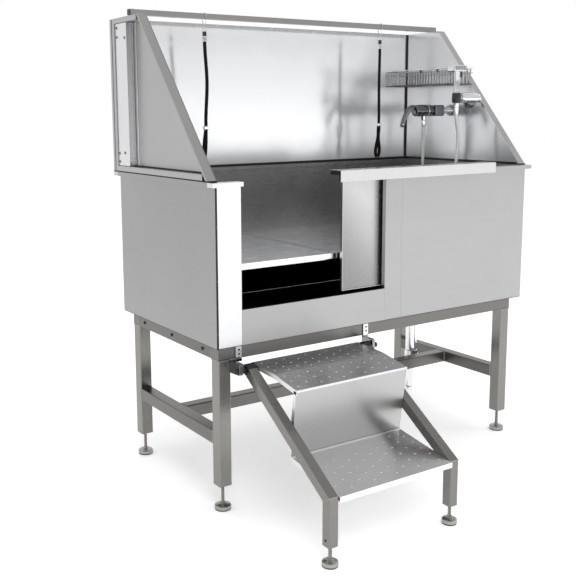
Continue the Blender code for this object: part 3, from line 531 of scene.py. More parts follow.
def screw(bm, at, direction, radius=0.0042, height=0.0022, drive=True):
    """Pan head screw."""
    bm_lathe(bm, [(0, 0), (radius, 0), (radius, height * 0.45), (radius * 0.8, height * 0.85), (radius * 0.45, height), (0, height)],
             at, direction, 16)


# ----------------------------------------------------- sheet metal pieces
refine("left_wall", SIDE_LOW, 0.0006)
refine("right_wall", SIDE_LOW, 0.0006)
refine("rear_wall", INSIDE, 0.0006)
refine("front_left_post", POST, 0.0006)
refine("front_right_panel", FRONT, 0.0006)
sill = refine("sill_panel", FRONT, 0.0006)
# the doorway's fold behind the sill lies in the dark of the tub
sill.data.materials.append(plain("shaded_fold", (0.03, 0.03, 0.03), 0.6, 1.0, speckle=400, bump=0.05))
for face in sill.data.polygons:
    if face.center.y - OFF.y > 0.0172:
        face.material_index = 1
refine("floor_support_front", PLATE, 0.0008)
refine("floor_plate_left", PLATE, 0.0006)
refine("floor_plate_right", PLATE, 0.0006)
refine("sliding_door", DOOR, 0.0006)
# black block at the left end of the door's cap
box_piece("door_end_black_block", [(0.4268, 0.4400, -0.0096, 0.0405, 0.9520, 0.9644), (0.4268, 0.4400, -0.0096, -0.0012, 0.9365, 0.9600)], PLASTIC, "door", 0.0010)
refine("back_splash_panel", BACK, 0.0006)
refine("left_splash_panel", SIDE, 0.0006)
refine("right_splash_panel", RSIDE, 0.0006)
refine("left_slanted_post", LEAN, 0.0016)
refine("right_slanted_post", LEAN_R, 0.0016)
refine("splash_gasket", RUBBER, 0.0005)
refine("floor_pan", PAN, 0.0004)



def bm_prism_x(bm, outline, x0, x1):
    """Extrudes a (y, z) outline from x0 to x1."""
    lo = [bm.verts.new(D(x0, y, z)) for y, z in outline]
    hi = [bm.verts.new(D(x1, y, z)) for y, z in outline]
    bm.faces.new(lo)
    bm.faces.new(list(reversed(hi)))
    ring_faces(bm, lo, hi)


# corner strip of black seal at the front left corner, with its screws
box_piece("corner_seal_left", [(0.0168, 0.0217, 0.0158, 0.0200, 0.4900, 0.9365)], RUBBER, "tub", 0.0006)
bm = bmesh.new()
for z in (0.530, 0.680, 0.830):
    screw(bm, D(0.0193, 0.0158, z), (0, -1, 0), 0.0021, 0.0012)
publish("corner_screws", bm, DARK_CHROME, "tub")
# fold line where the door jamb meets the wide front panel
box_piece("front_fold_line", [(0.6924, 0.6934, 0.01462, 0.0152, 0.4905, 0.9365)], LEAN, "tub", 0.0002)
# small rivet at the end of the front left rim
bm = bmesh.new()
screw(bm, D(0.0915, 0.0060, 0.9500), (0, 0, 1), 0.0028, 0.0012)
publish("rim_rivets", bm, DARK_CHROME, "tub")

# ----------------------------------------------------------- splash walls
# rear channels standing off the side splash walls
for tag, flip in (("left", False), ("right", True)):
    def X(a, b):
        return (1.270 - b, 1.270 - a) if flip else (a, b)
    # the rear channel and the panel fold strip take the brighter post colour, painting the light on them against the
    # darker panel
    xa, xb = X(0.0030, 0.0283)
    box_piece(tag + "_rear_channel", [(xa, xb, 0.5190, 0.5990, 0.9705, 1.4135)], POST, "tub", 0.0016)
    xa, xb = X(0.0270, 0.0284)
    box_piece(tag + "_panel_fold", [(xa, xb, 0.4995, 0.5035, 0.9705, 1.4130)], POST, "tub", 0.0005)
    bm = bmesh.new()
    side = 1 if flip else -1
    xs = X(0.0030, 0.0283)[1] if flip else 0.0030
    for y, z in ((0.5875, 1.372), (0.5310, 1.367), (0.5900, 1.010), (0.5500, 1.012), (0.5875, 1.400), (0.5900, 0.983)):
        screw(bm, D(xs, y, z), (side, 0, 0), 0.0046, 0.0022)
    publish(tag + "_channel_screws", bm, DARK_CHROME, "tub")
# black seals where the back wall meets the side walls, and a thin black strip at each rear lip as painted shade of the
# gap there
for tag, flip in (("left", False), ("right", True)):
    def X(a, b):
        return (1.270 - b, 1.270 - a) if flip else (a, b)
    box_piece("corner_seal_back_" + tag, [(*X(0.0303, 0.0352), 0.5958, 0.5997, 0.9542, 1.4290)], RUBBER, "tub", 0.0008)
    box_piece("foot_seal_" + tag, [(*X(0.0302, 0.0332), 0.0420, 0.5958, 0.9542, 0.9582)], RUBBER, "tub", 0.0008)
    box_piece("lip_seal_" + tag, [(*X(0.0252, 0.0284), 0.0580, 0.5980, 0.9701, 0.9738)], RUBBER, "tub", 0.0006)
    # painted shade: a thin black strip stands for the dark gap along the rear lip
    box_piece("rear_lip_gap_shade_" + tag, [(*X(-0.0004, 0.0004), 0.6168, 0.6196, 0.9560, 1.4280)], RUBBER, "tub", 0.0002)
box_piece("foot_seal_back", [(0.0352, 1.2348, 0.5958, 0.5997, 0.9542, 0.9585)], RUBBER, "tub", 0.0008)
box_piece("back_top_fold", [(0.0360, 1.2340, 0.5982, 0.5998, 1.4165, 1.4295)], POST, "tub", 0.0006)

# ---------------------------------------------------------- overhead rail
bm = bmesh.new()
bm_tube(bm, D(0.0, 0.485, 1.4393), (1, 0, 0), 1.270, 0.018, 0.018, 0.0016, 0.0015)
weighted(publish("v_overhead_rail", bm, RAIL, "tub", ("overhead_rail",)))
refine("rail_cap_left", PLASTIC, 0.0010, 3)
refine("rail_cap_right", PLASTIC, 0.0010, 3)
bm = bmesh.new()
for x in (0.012, 1.258):
    screw(bm, D(x, 0.485, 1.4483), (0, 0, 1), 0.0044, 0.0022)
publish("rail_screws", bm, CHROME, "tub")

# ------------------------------------------------------------ under-frame
T = 0.040
LX0, LX1, LY0, LY1 = 0.049, 1.200, 0.052, 0.558      # leg centres
LEGS = (("front_left", LX0, LY0), ("front_right", LX1, LY0), ("rear_left", LX0, LY1), ("rear_right", LX1, LY1))
for tag, cx, cy in LEGS:
    bm = bmesh.new()
    bm_tube(bm, D(cx, cy, 0.075), (0, 0, 1), 0.3717, T, T, 0.0032, 0.002)
    bm_box(bm, cx - 0.0179, cx + 0.0179, cy - 0.0179, cy + 0.0179, 0.0753, 0.0810)
    weighted(publish("v_leg_" + tag, bm, TUBE_Z, "tub", ("leg_" + tag,)))
for node, base, direction, length, mat in (
        ("upper_rail_front", (LX0 - T / 2, LY0, 0.467), (1, 0, 0), LX1 - LX0 + T, TUBE_X),
        ("upper_rail_rear", (LX0 - T / 2, LY1, 0.467), (1, 0, 0), LX1 - LX0 + T, TUBE_X),
        ("upper_rail_left", (LX0, LY0 + 0.0203, 0.467), (0, 1, 0), LY1 - LY0 - T - 0.0006, TUBE_Y),
        ("upper_rail_right", (LX1, LY0 + 0.0203, 0.467), (0, 1, 0), LY1 - LY0 - T - 0.0006, TUBE_Y),
        ("stretcher_left", (LX0, LY0 + 0.0203, 0.215), (0, 1, 0), LY1 - LY0 - T - 0.0006, TUBE_Y),
        ("stretcher_right", (LX1, LY0 + 0.0203, 0.215), (0, 1, 0), LY1 - LY0 - T - 0.0006, TUBE_Y),
        ("stretcher_centre", (LX0 + 0.0203, 0.3175, 0.215), (1, 0, 0), LX1 - LX0 - T - 0.0006, TUBE_X)):
    bm = bmesh.new()
    bm_tube(bm, D(*base), direction, length, T, T, 0.0032, 0.002)
    if node in ("upper_rail_front", "upper_rail_rear"):
        for x0, x1 in ((LX0 - 0.0198, LX0 - 0.0180), (LX1 + 0.0180, LX1 + 0.0198)):
            bm_box(bm, x0, x1, base[1] - 0.0179, base[1] + 0.0179, 0.4491, 0.4849)
    weighted(publish("v_" + node, bm, mat, "tub", (node,)))
bm = bmesh.new()
for x in (LX0, LX1):
    for y, way in ((LY0 + 0.020, -1), (LY1 - 0.020, 1)):
        bead(bm, D(x, y, 0.215), (0, way, 0), T, T, 0.0032, 0.0014, x + y)
        bead(bm, D(x, y, 0.467), (0, way, 0), T, T, 0.0032, 0.0012, x - y)
    for y in (LY0, LY1):
        bead(bm, D(x, y, 0.4469), (0, 0, 1), T, T, 0.0032, 0.0012, y)
bead(bm, D(LX0 + 0.020, 0.3175, 0.215), (-1, 0, 0), T, T, 0.0032, 0.0014, 1.0)
bead(bm, D(LX1 - 0.020, 0.3175, 0.215), (1, 0, 0), T, T, 0.0032, 0.0014, 2.0)
publish("frame_welds", bm, WELD, "tub")
bm = bmesh.new()
for x, way in ((LX0 - 0.020, -1), (LX1 + 0.020, 1)):
    for y, z in ((0.4976, 0.4665), (0.3105, 0.4665), (0.1213, 0.4665)):
        bm_lathe(bm, [(0, 0), (0.0058, 0), (0.0058, 0.0012), (0.0040, 0.0034), (0, 0.0036)], D(x, y, z), (way, 0, 0), 6)
publish("frame_bolts", bm, BLACK_STEEL, "tub", smooth=20)
# painted shade: a thin black box stands for a slot in the rear right leg
bm = bmesh.new()
bm_box(bm, LX1 - 0.0075, LX1 + 0.0075, LY1 - 0.0208, LY1 - 0.0198, 0.332, 0.336)
publish("leg_slots", bm, HOLE, "tub")
box_piece("frame_end_plugs", [(LX1 + 0.0199, LX1 + 0.0212, LY0 - 0.0188, LY0 + 0.0188, 0.4482, 0.4858), (LX1 + 0.0199, LX1 + 0.0212, LY1 - 0.0188, LY1 + 0.0188, 0.4482, 0.4858)], PLASTIC, "tub", 0.0005)


# ------------------------------------------------------------------- feet
def foot_piece(tag, cx, cy, stem_top, r, body):
    node = "foot_" + tag
    bm = bmesh.new()
    prof = [(0, 0.0038), (r * 0.985, 0.0038), (r, 0.0046), (r, 0.0118), (r * 0.975, 0.0134), (r * 0.90, 0.0145), (r * 0.72, 0.0154),
            (r * 0.50, 0.0162), (0.0088, 0.0170), (0.0066, 0.0186)]
    z = 0.0190
    k = 0
    while z < stem_top - 0.001:
        prof.append((0.0051 if k % 2 else 0.0045, z))
        z += 0.0010
        k += 1
    prof += [(0.0042, stem_top), (0, stem_top)]
    bm_lathe(bm, prof, D(cx, cy, 0), (0, 0, 1), 32)
    bm_lathe(bm, [(0.0050, 0.0166), (0.0086, 0.0166), (0.0086, 0.0216), (0.0050, 0.0216)], D(cx, cy, 0), (0, 0, 1), 6, closed=True)
    cup = publish("v_" + node, bm, FOOT_METAL, body, (node,))
    lathe_piece("sole_" + tag, [(0, 0.0), (r * 0.92, 0.0), (r * 0.975, 0.0008), (r * 0.985, 0.0042), (0, 0.0042)], D(cx, cy, 0), (0, 0, 1), RUBBER, body)
    return cup


for tag, cx, cy in LEGS:
    foot_piece(tag, cx, cy, 0.099, 0.0245, "foot_" + tag)
for tag, cx in (("stair_left", 0.107), ("stair_right", 0.527)):
    foot_piece(tag, cx, -0.3765, 0.077, 0.0215, "foot_" + tag)

# ----------------------------------------------------------------- stairs
AY, AZ = -0.008, 0.424
RY, RZ = -0.3765 - AY, 0.180 - AZ
RUN = math.hypot(RY, RZ)
UY, UZ = RY / RUN, RZ / RUN
for tag, cx in (("left", 0.107), ("right", 0.527)):
    bm = bmesh.new()
    w, r = 0.0294, 0.0028
    path = [Vector((AY + UY * 0.012, AZ + UZ * 0.012)), Vector((-0.3765, 0.180)), Vector((-0.3765, 0.055))]
    dirs = [(b - a).normalized() for a, b in zip(path, path[1:])]
    planes = [dirs[0], (dirs[0] + dirs[1]).normalized(), dirs[1]]
    rings = []
    for k, (p, nrm) in enumerate(zip(path, planes)):
        d = dirs[min(k, 1)]
        o = Vector((-d.y, d.x))
        ring = []
        for a, b in rounded_rect(w, 0.030, r, 3):
            q = p + o * b
            q = q + d * ((p - q).dot(nrm) / d.dot(nrm))
            ring.append(bm.verts.new(D(cx + a, q.x, q.y)))
        rings.append(ring)
    bm.faces.new(rings[0])
    ring_faces(bm, rings[0], rings[1])
    ring_faces(bm, rings[1], rings[2])
    bm.faces.new(rings[2])
    weighted(publish("v_stair_stringer_" + tag, bm, TUBE_SLOPE, "stairs", ("stair_stringer_" + tag,)))
    # eye round the axle
    bm = bmesh.new()
    bm_lathe(bm, [(0.0082, -0.0147), (0.0150, -0.0147), (0.0163, -0.0135), (0.0163, 0.0135), (0.0150, 0.0147), (0.0082, 0.0147)],
             D(cx, AY, AZ), (1, 0, 0), 32, closed=True)
    publish("stair_eye_" + tag, bm, BLACK_STEEL, "stairs")
    # mitre weld
    bm = bmesh.new()
    o = Vector((-(dirs[0] + dirs[1]).normalized().y, (dirs[0] + dirs[1]).normalized().x))
    box = [(-0.0147, -1), (0.0147, -1), (0.0147, 1), (-0.0147, 1)]
    pts = []
    span = 0.015 / abs(Vector((-dirs[1].y, dirs[1].x)).dot(o))
    for (a0, s0), (a1, s1) in zip(box, box[1:] + box[:1]):
        for k in range(8):
            t = k / 8
            a, s = a0 + (a1 - a0) * t, s0 + (s1 - s0) * t
            q = Vector((-0.3765, 0.180)) + o * (span * s)
            pts.append(D(cx + a, q.x, q.y))
    bm_sweep(bm, pts, 0.0011, 6, closed=True)
    publish("stair_weld_" + tag, bm, WELD, "stairs")
    # painted shade: thin black discs stand for the holes near the stringers' feet
    bm = bmesh.new()
    bm_lathe(bm, [(0, 0), (0.0036, 0), (0.0036, 0.0006), (0, 0.0006)], D(cx + (0.0147 if tag == "right" else -0.0147), -0.3765, 0.072), (1 if tag == "right" else -1, 0, 0), 16)
    publish("stair_leg_holes_" + tag, bm, HOLE, "stairs")

refine("stair_tread_upper", TREAD, 0.0008)
refine("stair_riser", RISER, 0.0008)
refine("stair_tread_lower", TREAD_LOW, 0.0010)
bm = bmesh.new()
for x0, x1 in ((0.1224, 0.1244), (0.5096, 0.5116)):
    bm_prism_x(bm, [(0.0078, 0.4366), (-0.1100, 0.4304), (-0.2117, 0.4114), (-0.2117, 0.3985), (-0.1085, 0.4178), (0.0078, 0.4240)], x0, x1)
    bm_prism_x(bm, [(-0.2112, 0.4078), (-0.1856, 0.2242), (-0.1728, 0.2260), (-0.1984, 0.4096)], x0, x1)
    bm_prism_x(bm, [(-0.1862, 0.2194), (-0.3965, 0.1875), (-0.3965, 0.1745), (-0.1845, 0.2065)], x0, x1)
rounding(publish("tread_flanges", bm, TREAD, "stairs"), 0.0004)
bm = bmesh.new()
bm_prism_x(bm, [(-0.2135, 0.4135), (-0.2135, 0.4060), (-0.2085, 0.4060), (-0.2085, 0.4135)], 0.1228, 0.5112)
bm_prism_x(bm, [(-0.1895, 0.2228), (-0.1895, 0.2170), (-0.1830, 0.2170), (-0.1830, 0.2228)], 0.1228, 0.5112)
rounding(publish("tread_folds", bm, TREAD, "stairs"), 0.0008)

columns = [0.143 + 0.0385 * n for n in range(10)]


def dimple_set(name, at):
    bm = bmesh.new()
    for p, nrm in at:
        bm_lathe(bm, [(0.0038, -0.0002), (0.0034, 0.0003), (0.0026, 0.0008), (0.0014, 0.0011), (0, 0.0012)], p, nrm, 14)
    publish(name, bm, DIMPLE, "stairs", smooth=60, recalc=False)


def on_line(y, a, b):
    t = (y - a[0]) / (b[0] - a[0])
    return a[1] + (b[1] - a[1]) * t, Vector((0, -(b[1] - a[1]), b[0] - a[0])).normalized() * (-1 if b[0] < a[0] else 1)


spots = []
for n, x in enumerate(columns):
    odd = n % 2 == 0
    for j in range(5):
        y = (-0.2085 if odd else -0.2265) - 0.0355 * j
        z, nrm = on_line(y, (-0.186, 0.220), (-0.3975, 0.188))
        spots.append((D(x, y, z), nrm))
dimple_set("dimples_lower", spots)
spots = []
for n, x in enumerate(columns):
    for y in ((-0.030, -0.0655, -0.092, -0.140, -0.1755) if n % 2 else (-0.012, -0.0478, -0.079, -0.1265, -0.158, -0.1905)):
        a, b = ((0.008, 0.4372), (-0.110, 0.431)) if y > -0.110 else ((-0.110, 0.431), (-0.212, 0.412))
        z, nrm = on_line(y, a, b)
        spots.append((D(x, y, z), nrm))
dimple_set("dimples_upper", spots)

refine("stair_axle", BLACK_STEEL, 0.0008)
# hinge plates on the front rail: pale plate with rivets over the pivot block
for tag, xp, x0, x1 in (("left", (0.0838, 0.1040), 0.0660, 0.0800), ("right", (0.5505, 0.5705), 0.5470, 0.5570)):
    bm = bmesh.new()
    bm_box(bm, xp[0], xp[1], 0.0287, 0.0317, 0.4460, 0.4840)
    lo = [(0.0317, 0.4460), (-0.0170, 0.4460), (-0.0205, 0.4400), (-0.0205, 0.4200), (-0.0160, 0.4125), (0.0317, 0.4105)]
    bm_prism_x(bm, lo, x0, x1)
    bm_box(bm, x0, xp[1], 0.0262, 0.0317, 0.4400, 0.4480)
    plate = publish("v_hinge_bracket_" + tag, bm, DARK_CHROME if tag == "left" else FOOT_METAL, "tub", ("hinge_bracket_" + tag,))
    rounding(plate, 0.0010, 3)
    bm = bmesh.new()
    bm_box(bm, xp[0] + 0.0006, xp[1] - 0.0006, 0.0281, 0.0288, 0.4466, 0.4834)
    rounding(publish("hinge_plate_" + tag, bm, CHROME, "tub"), 0.0003)
    bm = bmesh.new()
    for z in (0.4735, 0.4610):
        screw(bm, D((xp[0] + xp[1]) / 2 + 0.001, 0.0281, z), (0, -1, 0), 0.0030, 0.0013)
    publish("hinge_rivets_" + tag, bm, BLACK_STEEL, "tub")
bm = bmesh.new()
bm_box(bm, 0.4990, 0.5090, -0.0150, 0.0080, 0.4290, 0.4345)
rounding(publish("stair_glide_right", bm, RUBBER, "stairs"), 0.0010)

# ------------------------------------------------------------- mixer tap
TY, TZ = 0.380, 1.137
WALLX = 1.2397
bm = bmesh.new()
bm_box(bm, 1.168, 1.2110, TY - 0.020, TY + 0.020, TZ - 0.020, TZ + 0.020)
mix = publish("v_mixer_body", bm, DARK_CHROME, "tub", ("mixer_body",))
rounding(mix, 0.0045, 4)
lathe_piece("mixer_barrel", [(0, 0), (0.0195, 0), (0.0212, 0.0012), (0.0215, 0.003), (0.0215, 0.050), (0.0208, 0.0560), (0.0170, 0.0620), (0.0160, 0.0660), (0.0160, 0.0760), (0, 0.0760)],
            D(1.0985, TY, TZ), (1, 0, 0), DARK_CHROME, "tub", 40)
lathe_piece("mixer_tail", [(0, 0), (0.0125, 0), (0.0125, 0.0255), (0.0185, 0.0262), (0.0190, 0.0287), (0, 0.0287)], D(1.2110, TY, TZ), (1, 0, 0), CHROME, "tub", 32)
lathe_piece("mixer_band", [(0.0214, 0.0), (0.0219, 0.0006), (0.0219, 0.0032), (0.0214, 0.0038)], D(1.134, TY, TZ), (1, 0, 0), CHROME, "tub", 40, closed=True)
lathe_piece("mixer_outlet", [(0, 0.0005), (0.0078, 0.0005), (0.0095, 0.002), (0.0095, 0.0250), (0, 0.0250)], D(1.124, TY, 1.101), (0, 0, 1), CHROME, "tub", 8, smooth=20)
lathe_piece("v_mixer_cap", [(0, 0), (0.0145, 0), (0.0178, 0.0014), (0.0198, 0.0042), (0.0205, 0.0080), (0.0205, 0.0200), (0, 0.0200)],
            D(1.0780, TY, TZ), (1, 0, 0), DARK_CHROME, "mixer_cap", 40, ("mixer_cap",))
refine("mixer_lever", DARK_CHROME, 0.0028, 4)
# a small pale disc near the lever's tip
lathe_piece("lever_pale_dot", [(0, 0), (0.0030, 0), (0.0026, 0.0006), (0, 0.0008)], D(1.0200, TY - 0.0073, 1.0885), (0, -1, 0), WHITE_PLASTIC, "mixer_lever", 20)

# ----------------------------------------------------------- hand shower
SX, SY, SZ = 1.130, 0.2235, 1.180
lathe_piece("v_shower_bracket", [(0, 0), (0.0105, 0), (0.0150, 0.0030), (0.0180, 0.0085), (0.0185, 0.0140), (0.0185, 0.0740), (0.0172, 0.0800), (0.0155, 0.0835), (0.0150, 0.0905), (0.0150, 0.0911), (0, 0.0911)],
            D(SX + 0.0186, SY, SZ), (1, 0, 0), CHROME, "tub", 40, ("shower_bracket",))
lathe_piece("bracket_dome", [(0, 0), (0.0080, 0.0012), (0.0140, 0.0048), (0.0180, 0.0110), (0.0195, 0.0200), (0.0185, 0.0250), (0, 0.0250)], D(1.1960, SY, 1.1440), (0, 0, 1), DARK_CHROME, "tub", 32)
lathe_piece("v_shower_cradle", [(0.0125, -0.0165), (0.0138, -0.0172), (0.0150, -0.0150), (0.0158, 0.0), (0.0150, 0.0150), (0.0138, 0.0172), (0.0125, 0.0165)],
            D(SX, SY, SZ), (0, 0, 1), PLASTIC, "tub", 32, ("shower_cradle",), closed=True)
lathe_piece("bracket_nose", [(0, 0), (0.0085, 0), (0.0104, 0.0030), (0, 0.0030)], D(SX + 0.0158, SY, SZ), (1, 0, 0), CHROME, "tub", 24)
bm = bmesh.new()
HZ = 1.148
bm_lathe(bm, [(0, 0.0), (0.0080, 0.0), (0.0095, 0.0010), (0.0095, 0.0130), (0.0105, 0.0146), (0.0118, 0.0165), (0.0118, 0.0545), (0.0108, 0.0590), (0.0100, 0.0625), (0.0102, 0.0950), (0.0107, 0.1260), (0, 0.1260)],
         D(SX, SY, HZ), (0, 0, 1), 32)
HAND = publish("v_hand_shower", bm, CHROME, "hand_shower", ("hand_shower",))
HEAD = box_piece("shower_head", [(SX - 0.031, SX + 0.031, SY - 0.019, SY + 0.019, HZ + 0.1220, HZ + 0.1450)], CHROME, "hand_shower", 0.0065, segments=4)
bm = bmesh.new()
for i in range(7):
    for j in range(4):
        bm_lathe(bm, [(0.0016, 0), (0.0014, 0.0010), (0, 0.0012)], D(SX - 0.024 + 0.008 * i, SY - 0.0188, HZ + 0.1275 + 0.004 * j), (0, -1, 0), 8)
NOZZLES = publish("shower_nozzles", bm, RUBBER, "hand_shower")
TRIGGER = box_piece("shower_trigger", [(SX + 0.0100, SX + 0.0215, SY - 0.006, SY + 0.006, HZ + 0.104, HZ + 0.1225)], PLASTIC, "hand_shower", 0.0022, segments=3)


# ------------------------------------------------------------------ hose
def smooth_path(knots, spacing):
    pts = [Vector(k) for k in knots]
    pts = [2 * pts[0] - pts[1]] + pts + [2 * pts[-1] - pts[-2]]
    fine = []
    for n in range(1, len(pts) - 2):
        p0, p1, p2, p3 = pts[n - 1:n + 3]
        t0 = 0.0
        t1 = t0 + (p1 - p0).length ** 0.5
        t2 = t1 + (p2 - p1).length ** 0.5
        t3 = t2 + (p3 - p2).length ** 0.5
        for s in range(40):
            t = t1 + (t2 - t1) * s / 40
            a1 = p0 * ((t1 - t) / (t1 - t0)) + p1 * ((t - t0) / (t1 - t0))
            a2 = p1 * ((t2 - t) / (t2 - t1)) + p2 * ((t - t1) / (t2 - t1))
            a3 = p2 * ((t3 - t) / (t3 - t2)) + p3 * ((t - t2) / (t3 - t2))
            b1 = a1 * ((t2 - t) / (t2 - t0)) + a2 * ((t - t0) / (t2 - t0))
            b2 = a2 * ((t3 - t) / (t3 - t1)) + a3 * ((t - t1) / (t3 - t1))
            fine.append(b1 * ((t2 - t) / (t2 - t1)) + b2 * ((t - t1) / (t2 - t1)))
    fine.append(pts[-2])
    total = sum((b - a).length for a, b in zip(fine, fine[1:]))
    count = max(2, round(total / spacing))
    out, run, goal = [fine[0]], 0.0, total / count
    for a, b in zip(fine, fine[1:]):
        length = (b - a).length
        while run + length >= goal - 1e-9 and len(out) < count:
            out.append(a.lerp(b, (goal - run) / length))
            goal += total / count
        run += length
    out.append(fine[-1])
    return out, total


HR = 0.0055
LIE = 0.712 + HR + 0.0008
KNOTS = [(1.124, 0.380, 1.1007), (1.124, 0.380, 1.060), (1.127, 0.381, 0.960), (1.125, 0.384, 0.830),
         (1.105, 0.390, 0.755), (1.055, 0.400, LIE + 0.004), (0.985, 0.408, LIE), (0.900, 0.395, LIE), (0.858, 0.330, LIE), (0.880, 0.255, LIE),
         (0.950, 0.215, LIE), (1.030, 0.205, LIE + 0.003), (1.088, 0.203, 0.750), (1.116, 0.209, 0.830), (1.130, 0.217, 0.950),
         (1.143, 0.2235, 1.045), (SX, SY, 1.115), (SX, SY, HZ - 0.0003)]
hose_path, hose_length = smooth_path([D(*k) for k in KNOTS], 0.012)
bm = bmesh.new()
bm_sweep(bm, hose_path, HR, 16)
hose = publish("v_shower_hose", bm, HOSE, None, ("shower_hose",))
nut_a = lathe_piece("hose_nut_tap", [(0.0056, 0), (0.0076, 0), (0.0082, 0.0020), (0.0090, 0.0160), (0.0090, 0.0200), (0.0056, 0.0200)], D(1.124, 0.380, 1.0800), (0, 0, 1), CHROME, "tub", 24, closed=True)
nut_b = lathe_piece("hose_nut_shower", [(0.0056, 0), (0.0070, 0), (0.0082, 0.0060), (0.0090, 0.0250), (0.0056, 0.0250)], D(SX, SY, HZ - 0.0260), (0, 0, 1), CHROME, "hand_shower", 24, closed=True)

# -------------------------------------------------------------- wire rack
RX0, RX1, RY0, RY1, RZ0, RZ1 = 1.1238, 1.2376, 0.2468, 0.5932, 1.2298, 1.2852
bm = bmesh.new()
WIRE = 0.0017


def loop_at(z, r=WIRE):
    pts = fillet([(RX0, (RY0 + RY1) / 2, z), (RX0, RY0, z), (RX1, RY0, z), (RX1, RY1, z), (RX0, RY1, z), (RX0, (RY0 + RY1) / 2, z)], 0.010, 5)[:-1]
    bm_sweep(bm, [D(*p) for p in pts], r, 8, closed=True)


loop_at(RZ1 - 0.0150, 0.0014)
for n in range(1, 24):
    y = RY0 + (RY1 - RY0) * n / 24
    bm_sweep(bm, fillet([D(RX0, y, RZ1), D(RX0, y, RZ0), D(RX1, y, RZ0), D(RX1, y, RZ1)], 0.006, 4), 0.0014, 6)
for n in (1, 2, 3, 4, 5):
    x = RX0 + (RX1 - RX0) * n / 6
    bm_sweep(bm, fillet([D(x, RY0, RZ1), D(x, RY0, RZ0 - 0.0001), D(x, RY1, RZ0 - 0.0001), D(x, RY1, RZ1)], 0.006, 4), 0.0014, 6)
publish("v_wire_rack", bm, RACK_WIRE, "tub", ("wire_rack",), smooth=60)
# top loop in bright chrome and bottom loop in dark chrome: painted highlight and painted shade on the one wire rack
bm = bmesh.new()
loop_at(RZ1, 0.0024)
publish("rack_top_loop", bm, CHROME, "tub", smooth=60)
bm = bmesh.new()
loop_at(RZ0, 0.0020)
publish("rack_bottom_loop", bm, RACK_RAIL, "tub", smooth=60)
bm = bmesh.new()
for y in (0.345, 0.430, 0.515):
    bm_lathe(bm, [(0, 0), (0.0055, 0), (0.0055, 0.0030), (0.0040, 0.0060), (0, 0.0060)], D(1.2397, y, 1.2850), (-1, 0, 0), 20)
publish("rack_fixings", bm, BLACK_STEEL, "tub")

# ------------------------------------------------------------------ drain
refine("drain_strainer", CHROME, 0.0004)
bm = bmesh.new()
bm_lathe(bm, [(0.0380, 0.0), (0.0370, 0.0020), (0.0252, 0.0020), (0.0185, -0.0240), (0.0185, -0.2720), (0.0165, -0.2840),
              (0.0145, -0.2940), (0.0170, -0.2940), (0.0235, -0.2880), (0.0235, -0.2700), (0.0208, -0.2680), (0.0208, -0.0300),
              (0.0276, -0.0270), (0.0276, 0.0)], D(1.082, 0.375, 0.4891), (0, 0, 1), 40, closed=True)
publish("v_drain_pipe", bm, CHROME, "tub", ("drain_pipe",))
lathe_piece("drain_locknut", [(0.0212, 0), (0.0290, 0), (0.0302, 0.002), (0.0302, 0.018), (0.0290, 0.020), (0.0212, 0.020)], D(1.082, 0.375, 0.4370), (0, 0, 1), CHROME, "tub", 10, closed=True, smooth=20)
lathe_piece("drain_bottom_nut", [(0.0212, 0), (0.0238, 0), (0.0246, 0.0015), (0.0246, 0.0170), (0.0238, 0.0185), (0.0212, 0.0185)], D(1.082, 0.375, 0.2230), (0, 0, 1), CHROME, "tub", 10, closed=True, smooth=20)
refine("drain_tail", CHROME, 0.0005)

# ------------------------------------------------------- restraint straps
RYC = 0.485


def hook_piece(tag, x):
    bm = bmesh.new()
    y0, y1, top = RYC - 0.0109, RYC + 0.0109, 1.4502
    pts = fillet([(x, RYC, 1.4010), (x, y0, 1.4240), (x, y0, top), (x, y1, top), (x, y1, 1.4240), (x, RYC, 1.4010)], 0.004, 4)[:-1]
    bm_sweep(bm, [D(*p) for p in pts], 0.0014, 8, closed=True)
    node = "strap_hook_" + tag
    publish("v_" + node, bm, CHROME, node, (node,), smooth=60)


